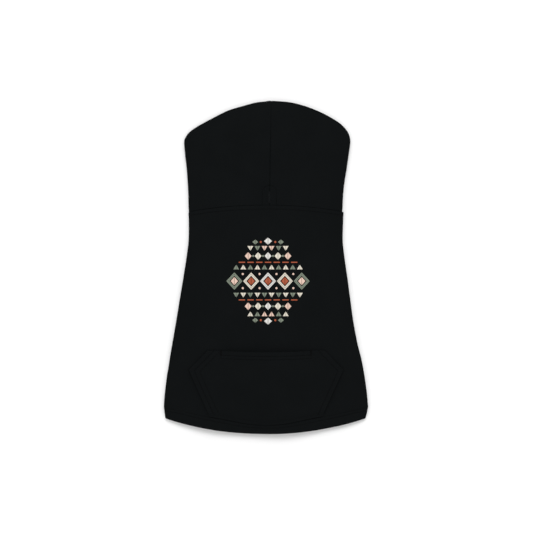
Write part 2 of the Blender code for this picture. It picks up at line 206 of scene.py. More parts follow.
def read(rows, column, at):
    """A table's column at places between its rows, on one smooth curve through them."""
    places = np.array([row[0] for row in rows])
    values = np.array([row[column] for row in rows])
    last = len(rows) - 1
    before, after = np.maximum(np.arange(last + 1) - 1, 0), np.minimum(np.arange(last + 1) + 1, last)
    slopes = (values[after] - values[before]) / (places[after] - places[before])
    at = np.clip(at, places[0], places[-1])
    low = np.clip(np.searchsorted(places, at) - 1, 0, last - 1)
    span = places[low + 1] - places[low]
    t = (at - places[low]) / span
    return (
        values[low] * (1 + 2 * t) * (1 - t) ** 2
        + slopes[low] * span * t * (1 - t) ** 2
        + values[low + 1] * t * t * (3 - 2 * t)
        - slopes[low + 1] * span * t * t * (1 - t)
    )


def fold_relief(x, y):
    """How far the soft folds lift or lower the upper layer."""
    total = np.zeros(np.broadcast(x, y).shape)
    for rows, half, length in (
        (HOOD_FOLDS, HOOD_WIDTH / 2, HOOD_LENGTH),
        (BODY_FOLDS, HEM_WIDTH / 2, -BODY_LENGTH),
    ):
        for out_a, along_a, out_b, along_b, width, height in rows:
            ax, ay = out_a * half, NECK_Y + along_a * length
            run_x, run_y = out_b * half - ax, NECK_Y + along_b * length - ay
            share = np.clip(((x - ax) * run_x + (y - ay) * run_y) / (run_x**2 + run_y**2), 0, 1)
            away = np.hypot(x - ax - run_x * share, y - ay - run_y * share)
            total = total + height * FOLD_HEIGHT * dent(away, width * FOLD_WIDTH)
    return total


def upper_z(x, y, reach, middle_height):
    """Height of the upper layer, with its folds, which die out at the silhouette."""
    high = np.maximum(0.0, 1 - np.minimum(1.0, reach) ** ROUNDING) ** 0.5
    return EDGE / 2 + (middle_height - EDGE / 2) * high + fold_relief(x, y) * smooth(high)


# %% The body's surface


def body_half(side, down):
    left, right = read(BODY_OUTLINE, 1, down), read(BODY_OUTLINE, 2, down)
    return HEM_WIDTH / 2 * np.where(side > 0, right, left)


def body_side_y(down):
    return NECK_Y - NECK_DROOP - (BODY_LENGTH - NECK_DROOP - HEM_DROP) * down


def body_upper_y(down, reach):
    middle = NECK_Y - BODY_LENGTH * down
    return middle + (body_side_y(down) - middle) * reach**BOW


def body_under_y(side, down, out):
    climb = HEM_RISE_UNDER * down**3
    return body_side_y(down) + climb * (1 - (out / body_half(side, down)) ** 2)


def body_wrap(down):
    return SIDE_WRAP * read(BODY_HEIGHT, 2, down)


def body_surface(down, across):
    """Outer surface of the body. across is 0 at the middle of the back, 1 at the silhouette, 2 where
    the cloth meets the floor and 3 at the side seam, negative on the left."""
    down, across = np.broadcast_arrays(np.asarray(down, float), np.asarray(across, float))
    side, along = np.where(across >= 0, 1.0, -1.0), np.abs(across)
    half, bend = body_half(side, down), EDGE / 2
    reach = np.sin(np.minimum(along, 1) * math.pi / 2) ** (2 / ROUNDING)
    y_upper = body_upper_y(down, reach)
    z_upper = upper_z(side * half * reach, y_upper, reach, LOFT * read(BODY_HEIGHT, 1, down))
    turn = np.clip(along - 1, 0, 1) * math.pi / 2
    out = half - bend + bend * np.cos(turn) - (body_wrap(down) - bend) * np.maximum(along - 2, 0)
    upper = along <= 1
    return np.stack(
        [
            side * np.where(upper, half * reach, out),
            np.where(upper, y_upper, body_under_y(side, down, out)),
            np.where(upper, z_upper, bend - bend * np.sin(turn)),
        ],
        axis=-1,
    )


def place_on_back(x, y):
    """The down and across of a place on the back in the plan, found by halving."""
    x, y = np.broadcast_arrays(np.asarray(x, float), np.asarray(y, float))
    side = np.where(x >= 0, 1.0, -1.0)
    low, high = np.zeros(x.shape), np.ones(x.shape)
    for _ in range(28):
        down = (low + high) / 2
        reach = np.minimum(1.0, np.abs(x) / body_half(side, down))
        short = body_upper_y(down, reach) > y
        low, high = np.where(short, down, low), np.where(short, high, down)
    return down, side * np.arcsin(reach ** (ROUNDING / 2)) * 2 / math.pi


# %% The hood's surface


def neck_y(x):
    """The neck seam's line in the plan."""
    side = np.where(np.asarray(x) >= 0, 1.0, -1.0)
    return body_upper_y(0.0, np.minimum(1.0, np.abs(x) / body_half(side, np.zeros_like(x) * 1.0)))


def hood_silhouette(side):
    """Points of one side's silhouette from the neck to the top, with the length up to each."""
    columns = (2, 3) if side > 0 else (0, 1)
    points = [
        np.array([side * HOOD_WIDTH / 2 * row[columns[0]], NECK_Y + HOOD_LENGTH * row[columns[1]]])
        for row in HOOD_OUTLINE
    ]
    points[0][1] = neck_y(points[0][0])
    points.append(np.array([PEAK_SHIFT, NECK_Y + HOOD_LENGTH]))
    ends = [points[0] * 2 - points[1], *points, points[-1] * 2 - points[-2]]
    curve = []
    for a, b, c, d in zip(ends, ends[1:], ends[2:], ends[3:]):
        for t in np.arange(8) / 8:
            bent = (a * 2 - b * 5 + c * 4 - d) * t**2 + (b * 3 - a - c * 3 + d) * t**3
            curve.append((b * 2 + (c - a) * t + bent) / 2)
    curve = np.array(curve + [points[-1]])
    steps = np.linalg.norm(np.diff(curve, axis=0), axis=1)
    return curve, np.concatenate([[0.0], np.cumsum(steps)])


SILHOUETTES = {side: hood_silhouette(side) for side in (-1, 1)}
SPINE_LENGTH = HOOD_LENGTH - CROWN_REACH


def up_at_rise(rise):
    """The line of the hood that leaves the centre seam at this height above the neck."""
    return 1 - (1 - rise / SPINE_LENGTH) ** (1 / FAN)


def hood_line(side, up):
    """Where a line leaves the centre seam, where it meets the silhouette, and its heading."""
    rise = SPINE_LENGTH * (1 - (1 - up) ** FAN)
    shift = SEAM_SHIFT + (PEAK_SHIFT - SEAM_SHIFT) * rise / HOOD_LENGTH
    open_share = np.clip((rise - SLIT_START) / SLIT_LENGTH, 0, 1)
    gap = (SEAM_GAP + SLIT_GAPE * np.sin(math.pi * open_share) ** 0.6) / 2
    start = np.stack([shift + side * gap, neck_y(shift) + rise], axis=-1)
    curve, lengths = SILHOUETTES[side]
    end = np.stack([np.interp(up * lengths[-1], lengths, curve[:, i]) for i in (0, 1)], axis=-1)
    end[..., 0] += side * SEAM_GAP / 2 * smooth(up)
    run = (end - start) / np.linalg.norm(end - start, axis=-1, keepdims=True)
    blend = smooth(up / 0.2)[..., None]
    heading = np.array([side, 0.0]) * (1 - blend) + run * blend
    return start, end, heading / np.linalg.norm(heading, axis=-1, keepdims=True)


def hood_surface(side, up, along):
    """Outer surface of one side of the hood. along is 0 at the centre seam, 1 at the silhouette, 2 at
    the floor and 3 at the edge of the face opening."""
    up, along = np.broadcast_arrays(np.asarray(up, float), np.asarray(along, float))
    start, end, heading = hood_line(side, up)
    bend = EDGE / 2
    reach = np.sin(np.minimum(along, 1) * math.pi / 2) ** (2 / ROUNDING)
    place = start + (end - start) * reach[..., None]
    chord = neck_y(start[..., 0]) + (neck_y(end[..., 0]) - neck_y(start[..., 0])) * reach
    place[..., 1] += (neck_y(place[..., 0]) - chord) * (1 - smooth(up / 0.5))
    height = LOFT * read(HOOD_HEIGHT, 1, up)
    z_upper = upper_z(place[..., 0], place[..., 1], reach, height)
    turn = np.clip(along - 1, 0, 1) * math.pi / 2
    wrap = FACE_WRAP * read(HOOD_HEIGHT, 2, up)
    back = bend - bend * np.cos(turn) + (wrap - bend) * np.maximum(along - 2, 0)
    under = end - heading * back[..., None]
    upper = (along <= 1)[..., None]
    plan = np.where(upper, place, under)
    z = np.where(along <= 1, z_upper, bend - bend * np.sin(turn))
    return np.concatenate([plan, z[..., None]], axis=-1)


def unit(vectors):
    return vectors / np.maximum(np.linalg.norm(vectors, axis=-1, keepdims=True), 1e-12)


def body_normal(down, across):
    step = 0.003
    down, across = np.broadcast_arrays(np.asarray(down, float), np.asarray(across, float))
    a, b = np.clip(down - step, 0, 1), np.clip(down + step, 0, 1)
    along = body_surface(b, across) - body_surface(a, across)
    a, b = np.clip(across - step, -3, 3), np.clip(across + step, -3, 3)
    return unit(np.cross(along, body_surface(down, b) - body_surface(down, a)))


def hood_normal(side, up, along):
    step = 0.003
    up, along = np.broadcast_arrays(np.asarray(up, float), np.asarray(along, float))
    a, b = np.clip(along - step, CENTRE, 3), np.clip(along + step, CENTRE, 3)
    across = hood_surface(side, up, b) - hood_surface(side, up, a)
    heading = hood_line(side, up)[2]
    flat = (across[..., :2] * heading).sum(axis=-1)
    lift = across[..., 2]
    return unit(np.stack([-heading[..., 0] * lift, -heading[..., 1] * lift, flat], axis=-1))


print("middle of the back:", np.round(body_surface(0.5, 0.0), 4))
print("top of the hood:", np.round(hood_surface(1, 1.0, 1.0), 4))

# %% [markdown]
# ## From a surface to a piece of cloth
#
# A panel is a thin wall. Its outer face is the surface, raised or sunk a little by its seams,
# stitches and creases, and its inner face lies one wall further in. Blender's Solidify modifier
# would do this too, but here the wall changes thickness where cloth is doubled, and its cut or
# folded edges are rounded, so both faces are written out and joined round the rim. A map in metres
# of cloth goes with each panel, so that the knit later follows the threads and not the folds.

# %% Grid helpers


def graded(start, stop, fine, coarse, reach_start=0.0, reach_stop=0.0):
    """Places from start to stop, finely spaced within a reach of either end."""
    marks = [start]
    while marks[-1] < stop:
        from_end = min(
            (marks[-1] - start) / reach_start if reach_start else 9,
            (stop - marks[-1]) / reach_stop if reach_stop else 9,
        )
        ease = float(smooth(max(0.0, from_end - 1)))
        marks.append(marks[-1] + fine + (coarse - fine) * ease)
    marks = np.array(marks[:-1] + [stop])
    if len(marks) > 2 and marks[-1] - marks[-2] < fine / 2:
        marks = np.delete(marks, -2)
    return marks


def rounded(distance, radius):
    """How far a rounded edge falls away at a distance from the rim."""
    share = np.clip(distance / radius, 0, 1)
    return radius * (1 - np.sqrt(1 - (1 - share) ** 2))


def wander(points, size, seed):
    """Smooth noise from about -1 to 1 at places in space."""
    shift = Vector((seed * 7.31, seed * 3.17, seed * 5.73))
    flat = points.reshape(-1, 3) / size
    return np.array([noise.noise(Vector(p) + shift) for p in flat]).reshape(points.shape[:-1])


def cloth_wall(name, outer, inner, cloth_uv):
    """A closed wall of cloth from the grids of its outer and inner faces."""
    rows, wide = outer.shape[:2]
    count = rows * wide
    index = np.arange(count).reshape(rows, wide)
    a, b, c, d = index[:-1, :-1], index[1:, :-1], index[1:, 1:], index[:-1, 1:]
    front = np.stack([a, b, c, d], axis=-1).reshape(-1, 4)
    back = np.stack([d, c, b, a], axis=-1).reshape(-1, 4) + count
    rim = np.concatenate([index[::-1, 0], index[0, 1:], index[1:, -1], index[-1, -2:0:-1]])
    after = np.roll(rim, -1)
    edge = np.stack([rim, after, after + count, rim + count], axis=-1)
    faces = np.concatenate([front, back, edge])
    points = np.concatenate([outer.reshape(-1, 3), inner.reshape(-1, 3)])
    mesh = bpy.data.meshes.new(name)
    mesh.from_pydata(points.tolist(), [], faces.tolist())
    layer = mesh.uv_layers.new(name="cloth")
    uv = np.concatenate([cloth_uv.reshape(-1, 2), cloth_uv.reshape(-1, 2)])
    corners = np.empty(len(mesh.loops), dtype=np.int32)
    mesh.loops.foreach_get("vertex_index", corners)
    layer.data.foreach_set("uv", uv[corners].astype(np.float32).ravel())
    mesh.shade_smooth()
    mesh.update()
    piece = bpy.data.objects.new(name, mesh)
    bpy.context.scene.collection.objects.link(piece)
    return piece


def measure_uv(points, anchor=None):
    """A map in metres: the length of cloth along each row from the anchor column, and down it."""
    across = np.linalg.norm(np.diff(points, axis=1), axis=-1)
    down = np.linalg.norm(np.diff(points, axis=0), axis=-1)
    u = np.concatenate([np.zeros((len(points), 1)), np.cumsum(across, axis=1)], axis=1)
    v = np.concatenate([np.zeros((1, points.shape[1])), np.cumsum(down, axis=0)], axis=0)
    anchor = points.shape[1] // 2 if anchor is None else anchor
    return np.stack([u - u[:, anchor : anchor + 1], -v], axis=-1)


def face_outwards(mesh):
    """Turns every face of a closed mesh to the outside."""
    bm = bmesh.new()
    bm.from_mesh(mesh)
    bmesh.ops.recalc_face_normals(bm, faces=bm.faces)
    bm.to_mesh(mesh)
    bm.free()


def count_triangles(piece):
    piece.data.calc_loop_triangles()
    return len(piece.data.loop_triangles)


# %% [markdown]
# ## The finishes
#
# The hoodie is sewn from one black sweatshirt fleece: a fine jersey face, whose columns of V-shaped
# stitches run from neck to hem, over a brushed back. At arm's length such a knit reads as plain matt
# black, and only the light on its folds and seams shows the shape. A picture of cloth could be used
# as a texture, but here a few sums on the cloth's own map draw the V of each knitted stitch at its
# real size, with a little lint and unevenness, and paint shade into the colour of its grooves.

# %% A small helper for sums on sockets


class Value:
    """A number that varies over the surface. Sums on it add Math nodes."""

    def __init__(self, tree, socket):
        self.tree, self.socket = tree, socket

    def math(self, operation, *others):
        return self.tree.add("ShaderNodeMath", {"operation": operation}, (self, *others))

    def __add__(self, other):
        return self.math("ADD", other)

    def __sub__(self, other):
        return self.math("SUBTRACT", other)

    def __mul__(self, other):
        return self.math("MULTIPLY", other)

    def __truediv__(self, other):
        return self.math("DIVIDE", other)

    def __rsub__(self, other):
        return self.tree.add("ShaderNodeMath", {"operation": "SUBTRACT"}, (other, self))

    __radd__ = __add__
    __rmul__ = __mul__


class Finish:
    """A material with one Principled shader, and helpers that add nodes to it."""

    def __init__(self, name, **uniform):
        self.material = bpy.data.materials.new(name)
        self.material.use_nodes = True
        self.nodes = self.material.node_tree.nodes
        self.links = self.material.node_tree.links
        self.shader = self.nodes["Principled BSDF"]
        for socket, value in uniform.items():
            self.shader.inputs[socket.replace("_", " ").title()].default_value = value

    def plug(self, value, socket):
        """Links a value to a socket, or sets the socket's own number or colour."""
        if isinstance(value, Value):
            self.links.new(value.socket, socket)
        else:
            socket.default_value = value

    def add(self, kind, settings=(), inputs=(), output=0):
        """Adds a node with its settings and inputs, and gives one of its outputs."""
        node = self.nodes.new(kind)
        for name, value in dict(settings).items():
            setattr(node, name, value)
        pairs = inputs.items() if isinstance(inputs, dict) else enumerate(inputs)
        for key, value in pairs:
            self.plug(value, node.inputs[key])
        return Value(self, node.outputs[output])

    def mix(self, share, first, second):
        """A colour between two others."""
        inputs = {"Factor": share, 6: first, 7: second}
        return self.add("ShaderNodeMix", {"data_type": "RGBA"}, inputs, output=2)

    def grain(self, coordinates, size, detail=2.0):
        """Smooth noise from 0 to 1 with features of about this size in metres."""
        inputs = {"Vector": coordinates, "Scale": 1 / size, "Detail": detail}
        return self.add("ShaderNodeTexNoise", {}, inputs, output="Fac")

    def bump(self, height, distance, strength=1.0, under=None):
        inputs = {"Height": height, "Distance": distance, "Strength": strength}
        if under:
            inputs["Normal"] = under
        return self.add("ShaderNodeBump", {}, inputs)

    def wear(self, socket, value):
        self.plug(value, self.shader.inputs[socket])


# %% Black fleece with a jersey face

WALE = 1.0 * MM
COURSE = 0.8 * MM


def knit_height(finish, uv):
    """The height of a jersey face: V-shaped stitches in columns, from 0 in the grooves to 1."""
    parts = finish.add("ShaderNodeSeparateXYZ", {}, (uv,))
    u, v = parts, Value(finish, parts.socket.node.outputs[1])
    from_middle = (u / WALE).math("FRACT") - 0.5
    off = from_middle.math("ABSOLUTE") * 2
    loop = ((v / COURSE + off * 0.75) * (2 * math.pi)).math("SINE") * 0.5 + 0.5
    column = 1 - off.math("POWER", 3.0)
    return column * 0.65 + loop * column * 0.35


def fleece(name, shade):
    finish = Finish(name, roughness=0.9, metallic=0.0)
    finish.shader.inputs["Specular IOR Level"].default_value = 0.0
    uv = finish.add("ShaderNodeUVMap", {"uv_map": "cloth"})
    place = finish.add("ShaderNodeTexCoord", output="Object")
    knit = knit_height(finish, uv)
    lint = finish.grain(place, 0.0011, 3.0)
    cloud = finish.grain(place, 0.034, 3.0)
    dark = [c * 0.72 for c in shade] + [1.0]
    light = [c * 1.28 for c in shade] + [1.0]
    # The colour is darker in the knit's grooves, which is painted shade, and varies with lint and a broad
    # cloud, which are random tone.
    knit_groove_shade_and_lint = knit * 0.45 + lint * 0.35 + cloud * 0.4 - 0.1
    finish.wear("Base Color", finish.mix(knit_groove_shade_and_lint, dark, light))
    finish.wear("Roughness", 0.82 + lint * 0.16)
    relief = finish.bump(lint, 0.00025, 0.5)
    finish.wear("Normal", finish.bump(knit, 0.0003, 0.55, under=relief))
    return finish.material


FLEECE = fleece("black_fleece_face", (0.0049, 0.0056, 0.0059))
FLEECE_POCKET = fleece("black_fleece_pocket", (0.0049, 0.0056, 0.0059))
FLEECE_BACK = fleece("black_fleece_brushed_back", (0.0092, 0.0102, 0.0108))
print("materials:", FLEECE.name, FLEECE_POCKET.name, FLEECE_BACK.name)

# %% Ribbing and thread

RIB_PITCH = 1.7 * MM


def ribbing():
    finish = Finish("black_ribbing", roughness=0.88, metallic=0.0, diffuse_roughness=1.0)
    finish.shader.inputs["Specular IOR Level"].default_value = 0.02
    place = finish.add("ShaderNodeTexCoord", output="Object")
    lint = finish.grain(place, 0.0009, 3.0)
    cloud = finish.grain(place, 0.02)
    finish.wear(
        "Base Color",
        finish.mix(lint * 0.6 + cloud * 0.4, (0.0042, 0.0046, 0.005, 1), (0.0078, 0.0084, 0.009, 1)),
    )
    finish.wear("Roughness", 0.8 + lint * 0.18)
    finish.wear("Normal", finish.bump(lint, 0.0002, 0.5))
    return finish.material


def thread():
    finish = Finish("black_thread", roughness=0.7, metallic=0.0)
    finish.shader.inputs["Specular IOR Level"].default_value = 0.06
    place = finish.add("ShaderNodeTexCoord", output="Object")
    twist = finish.grain(place, 0.0004, 2.0)
    finish.wear("Base Color", finish.mix(twist, (0.0007, 0.0008, 0.0009, 1), (0.0018, 0.002, 0.0022, 1)))
    finish.wear("Roughness", 0.6 + twist * 0.2)
    finish.wear("Normal", finish.bump(twist, 0.0001, 0.6))
    return finish.material


RIBBING = ribbing()
THREAD = thread()


def finish_piece(piece, material, *nodes, slot="black_fleece"):
    """Gives a piece its material, its body and the solids that it stands for."""
    piece.data.materials.clear()
    piece.data.materials.append(material)
    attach(piece, ROOT)
    if nodes:
        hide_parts(*nodes)
    print(piece.name, "has", count_triangles(piece), "triangles")
    return piece


# %% [markdown]
# ## The back panel
#
# The back is one piece from side seam to side seam. Along the neck its cloth lies over the turned
# seam allowance, which makes a low ridge that the topstitching holds down 5 mm below the seam. At
# the hem the cloth is turned up and held by two rows from a twin needle, so it is thicker there and
# its fold is round. Each row of stitches draws the cloth in a little, in a groove with fine puckers.

# %% Creases and seams of the upper layer

STITCH_PITCH = 3.0 * MM
NECK_STITCH = 5.2 * MM

# The two hem rows. Columns: out from the middle, then each row's height above the edge, in
# millimetres. The edge dips away at the middle, so the hem looks narrower there from above.
HEM_ROWS = (
    (0, 7.4, 11.4),
    (28, 9.0, 13.2),
    (42, 10.2, 15.0),
    (56, 11.6, 16.4),
    (74, 12.5, 17.2),
    (101, 13.0, 17.2),
    (115, 12.9, 16.8),
    (130, 11.6, 15.6),
)
GROOVE = 0.75 * MM
RIDGE = 0.45 * MM


def hem_row(row, x, across=0.0):
    """Height of a hem row above the edge. Round the side and underneath it stays the same."""
    out = np.where(np.abs(across) <= 1, np.abs(x) / MM, HEM_ROWS[-1][0])
    return read(HEM_ROWS, 1 + row, out) * MM


def stitch_groove(distance, along, seed=0.0):
    """A row of stitches: a groove at distance 0, with puckers along it."""
    pucker = np.sin(2 * math.pi * along / (9.5 * MM) + seed) * np.sin(along / (23 * MM) + 2 * seed)
    return -0.5 * MM * dent(distance, GROOVE) + 0.16 * MM * pucker * dent(distance, 4 * MM)


def fine_crease(points, start, end, depth, width):
    """A thin crease pressed in between two places in the plan, in millimetres."""
    ax, ay, bx, by = (v * MM for v in (*start, *end))
    x, y = points[..., 0], points[..., 1]
    share = ((x - ax) * (bx - ax) + (y - ay) * (by - ay)) / ((bx - ax) ** 2 + (by - ay) ** 2)
    away = np.hypot(x - ax - (bx - ax) * np.clip(share, 0, 1), y - ay - (by - ay) * np.clip(share, 0, 1))
    return -depth * MM * dent(away, width * MM) * smooth(share * 4) * smooth((1 - share) * 4)


def drape(points, strength=1.0):
    """Soft unevenness of cloth that has been folded and laid out again."""
    broad = wander(points * np.array([1.0, 0.6, 1.0]), 0.055, 1)
    small = wander(points * np.array([1.0, 0.8, 1.0]), 0.019, 2)
    return strength * (0.9 * MM * broad + 0.22 * MM * small)


POCKET_FOOT = 75 * MM
CAUGHT_STEP = 0.75 * MM


def body_relief(points, down, across):
    """What the seams, hem and creases add to the body's outer face."""
    reach = np.sin(np.minimum(np.abs(across), 1) * math.pi / 2) ** (2 / ROUNDING)
    side_length = BODY_LENGTH - NECK_DROOP - HEM_DROP
    length = BODY_LENGTH + (side_length - BODY_LENGTH) * reach**BOW
    from_neck, from_hem = down * length, (1 - down) * length
    along = points[..., 0] + 40 * MM * np.maximum(np.abs(across) - 1, 0)
    relief = RIDGE * smooth((NECK_STITCH + 1.6 * MM - from_neck) / (1.6 * MM))
    relief -= rounded(from_neck, SEAM_ROUND)
    relief += stitch_groove(from_neck - NECK_STITCH, along, 0.4)
    rows = [hem_row(row, points[..., 0], across) for row in (0, 1)]
    in_hem = smooth((rows[1] + 1.4 * MM - from_hem) / (1.2 * MM))
    caught = smooth((POCKET_FOOT - np.abs(points[..., 0])) / (4 * MM)) * (np.abs(across) < 1)
    relief += (0.35 * MM + CAUGHT_STEP * caught) * in_hem
    for row, height in enumerate(rows):
        relief += stitch_groove(from_hem - height, along, 1.3 + row)
    on_top = smooth((2.0 - np.abs(across)) / 0.8)
    away_from_seams = smooth(from_neck / (14 * MM)) * (0.45 + 0.55 * smooth(from_hem / (30 * MM)))
    relief += drape(points) * on_top * away_from_seams
    return relief, from_neck, from_hem


# %% Make the back panel

FINE, COARSE = 0.55 * MM, 2.1 * MM
neck_gap = SEAM_GAP / BODY_LENGTH
rows = graded(
    neck_gap,
    1.0,
    FINE / BODY_LENGTH,
    COARSE / BODY_LENGTH,
    8 * MM / BODY_LENGTH,
    14 * MM / BODY_LENGTH,
)
half_columns = np.concatenate(
    [np.linspace(0, 1, 64)[1:], np.linspace(1, 2, 9)[1:], graded(2.0, 3.0, 0.03, 0.12, 0, 0.12)[1:]]
)
columns = np.concatenate([-half_columns[::-1], [0.0], half_columns])
down, across = np.meshgrid(rows, columns, indexing="ij")


def body_skin(down, across):
    """The body's outer face with its relief, and its outward direction."""
    points, normals = body_surface(down, across), body_normal(down, across)
    relief, from_neck, from_hem = body_relief(points, down, across)
    under = np.abs(across) > 2
    off_floor = smooth(points[..., 2] / (0.8 * EDGE))
    relief = np.where(relief > 0, relief * off_floor, relief)
    seam_side = (3 - np.abs(across)) * (body_wrap(down) - EDGE / 2)
    relief = np.where(under, np.minimum(relief, 0) - rounded(seam_side, 0.9 * MM), relief)
    return points + normals * relief[..., None], normals, from_neck, from_hem


outer, normals, from_neck, from_hem = body_skin(down, across)
turned_up = hem_row(1, outer[..., 0], across) + 1.6 * MM - from_hem
wall = BODY_WALL + HEM_TURN * smooth(turned_up / (1 * MM))
hem_round = rounded(from_hem, 1.5 * MM)
level = normals.copy()
level[down == neck_gap, 1] = 0
level = unit(level)
outer = outer - level * hem_round[..., None]
inner = body_surface(down, across) - level * (wall - hem_round)[..., None]
back_piece = cloth_wall("back", outer, inner, measure_uv(body_surface(down, across)))
finish_piece(back_piece, FLEECE, "back_panel")

# %% [markdown]
# ## The hood
#
# Two mirrored panels meet in a seam over the middle of the head. The seam is left open for the last
# stretch above the neck, so that a leash can reach the collar, and a row of stitches runs round the
# opening in an arch. The edge of the face opening is turned in and stitched. The lines of the grid
# fan out from the centre seam, so one grid covers the crown without a pole.

# %% Make the hood panels

ARCH_HALF_WIDTH = 9.4 * MM
ARCH_TOP = 25.5 * MM
FACE_STITCHES = (7.0 * MM, 10.5 * MM)


def arch_distance(x, y):
    """Signed distance to the arch of stitches round the leash opening, in the plan."""
    rise = y - (NECK_Y + 1 * MM)
    middle = SEAM_SHIFT
    centre = ARCH_TOP - ARCH_HALF_WIDTH
    legs = np.abs(x - middle) - ARCH_HALF_WIDTH
    dome = np.hypot(x - middle, rise - centre) - ARCH_HALF_WIDTH
    return np.where(rise > centre, dome, legs)


def hood_relief(points, side, up, along):
    """What the seams, the arch and the creases add to the hood's outer face."""
    rise = points[..., 1] - neck_y(points[..., 0])
    seam_x = SEAM_SHIFT + (PEAK_SHIFT - SEAM_SHIFT) * rise / HOOD_LENGTH
    right_of_seam = points[..., 0] - seam_x
    from_seam = np.abs(right_of_seam)
    on_upper = np.abs(along) <= 1.0
    from_neck = np.maximum(points[..., 1] - neck_y(points[..., 0]), 0)
    from_neck = np.where(along > 2, points[..., 1] - (NECK_Y - NECK_DROOP), from_neck)
    relief = -rounded(from_neck, SEAM_ROUND)
    slit = smooth((rise - SLIT_START) / (1.5 * MM)) * smooth((SLIT_START + SLIT_LENGTH - rise) / (2 * MM))
    seam_round = rounded(from_seam, SEAM_ROUND) * (1 - 0.5 * smooth((rise - 0.115) / 0.02))
    relief -= np.where(on_upper, seam_round * (1 - 0.6 * slit), 0)
    allowance = smooth(-right_of_seam / (0.8 * MM)) * smooth((6.5 * MM + right_of_seam) / (1.5 * MM))
    relief += np.where(on_upper, 0.3 * MM * allowance * (1 - slit), 0)
    arch = arch_distance(points[..., 0], points[..., 1])
    relief += np.where(on_upper, stitch_groove(arch, points[..., 1], 0.9), 0)
    relief += np.where(on_upper, 0.3 * MM * smooth(-arch / (2 * MM)), 0)
    relief += drape(points, 1.0) * smooth((2.0 - along) / 0.8) * smooth(from_neck / (12 * MM))
    relief += np.where(on_upper, fine_crease(points, (17, 128.5), (47, 129.5), 0.5, 1.6), 0)
    return relief, from_neck


def hood_skin(side, up, along):
    """The hood's outer face with its relief, and its outward direction."""
    points, normals = hood_surface(side, up, along), hood_normal(side, up, along)
    relief, from_neck = hood_relief(points, side, up, along)
    wrap = FACE_WRAP * read(HOOD_HEIGHT, 2, up) - EDGE / 2
    from_face = (3 - along) * wrap
    hem = stitch_rows(from_face, points)
    relief = np.where(along > 2, np.minimum(relief, 0) + np.minimum(hem, 0), relief)
    return points + normals * relief[..., None], normals, from_face


def stitch_rows(from_edge, points):
    """The grooves of the two rows along the face opening."""
    along = points[..., 0] + points[..., 1]
    return sum(stitch_groove(from_edge - row, along, row * 300) for row in FACE_STITCHES)


def make_hood(side, name, node):
    fine = FINE / (HOOD_LENGTH * 1.25)
    rises = graded(0.0, SLIT_START + SLIT_LENGTH + 8 * MM, FINE, 1.0 * MM, 6 * MM)
    ups = [float(up_at_rise(r)) for r in rises]
    rest = graded(ups[-1], 1.0, fine * 2.0, fine * 2.6)
    ups = np.array(ups + list(rest[1:]))
    near = graded(0.0, 1.0, 0.006, 0.019, 0.1, 0)
    under = graded(2.0, 3.0, 0.02, 0.06, 0, 0.3)
    alongs = np.concatenate([[CENTRE], near[1:], np.linspace(1, 2, 10)[1:], under[1:]])
    up, along = np.meshgrid(ups[::-1], alongs, indexing="ij")
    outer, normals, from_face = hood_skin(side, up, along)
    level = normals.copy()
    level[up == 0, 1] = 0
    level[up == 1, 0] = 0
    level[along == CENTRE, 0] = 0
    level = unit(level)
    edge_round = rounded(from_face, 1.3 * MM)
    outer = outer - level * edge_round[..., None]
    inner = hood_surface(side, up, along) - level * (HOOD_WALL - edge_round)[..., None]
    uv = measure_uv(hood_surface(side, up, along), anchor=0)
    if side < 0:
        outer, inner, uv = outer[:, ::-1], inner[:, ::-1], uv[:, ::-1]
    return finish_piece(cloth_wall(name, outer, inner, uv), FLEECE, node)


hood_left_piece = make_hood(-1, "hood_left_cloth", "hood_left")
hood_right_piece = make_hood(1, "hood_right_cloth", "hood_right")

# %% [markdown]
# ## Seam allowances
#
# Where two panels are sewn together, the cloth beyond the seam stays inside, overlocked into a flat
# strip. It can be seen through the face opening, and it backs the seam.
# A strip is a flat section carried along the seam's path, just under the panels' inner faces.

# %% Make the seam allowances

STRIP = 1.1 * MM


def make_strip(name, path, inwards, sideways, widths):
    """A flat strip along a path, under the wall, from one width to another to the side."""
    corners = [(widths[0], 0.0), (widths[1], 0.0), (widths[1], STRIP), (widths[0], STRIP)]
    rings = np.stack(
        [path + sideways * wide + inwards * (HOOD_WALL + deep) for wide, deep in corners], axis=1
    )
    count = len(path)
    faces = [
        (i * 4 + k, i * 4 + (k + 1) % 4, (i + 1) * 4 + (k + 1) % 4, (i + 1) * 4 + k)
        for i in range(count - 1)
        for k in range(4)
    ]
    faces += [(3, 2, 1, 0), tuple((count - 1) * 4 + k for k in range(4))]
    mesh = bpy.data.meshes.new(name)
    mesh.from_pydata(rings.reshape(-1, 3).tolist(), [], faces)
    face_outwards(mesh)
    piece = bpy.data.objects.new(name, mesh)
    bpy.context.scene.collection.objects.link(piece)
    return finish_piece(piece, FLEECE_BACK)


line = np.linspace(-1.9, 1.9, 260)
neck_path, neck_normals = body_surface(0.0, line), body_normal(0.0, line)
up_garment = np.broadcast_to([0.0, 1.0, 0.0], neck_path.shape)
make_strip("neck_seam_allowance", neck_path, -neck_normals, up_garment, (-6.5 * MM, 2.2 * MM))
STRIP_OVERLAP = 1.5 * MM
slit_end = up_at_rise(SLIT_START + SLIT_LENGTH - STRIP_OVERLAP)
ups = np.concatenate([np.linspace(slit_end, 1, 60), np.ones(70)])
alongs = np.concatenate([np.full(60, CENTRE), np.linspace(0.01, 1.9, 70)])
seam_path, seam_normals = hood_surface(1, ups, alongs), hood_normal(1, ups, alongs)
seam_normals[:, 0] = 0
right_across = np.broadcast_to([1.0, 0.0, 0.0], seam_path.shape)
make_strip("hood_seam_allowance", seam_path, -unit(seam_normals), right_across, (-5 * MM, 3 * MM))

# %% [markdown]
# ## The belly panel and the leg openings
#
# The belly panel lies on the floor between the side seams. Its two leg openings are bound with
# ribbing. The holes are cut with a Boolean, which is the plain way to make a clean hole in a wall
# that is already closed.

# %% Make the belly panel

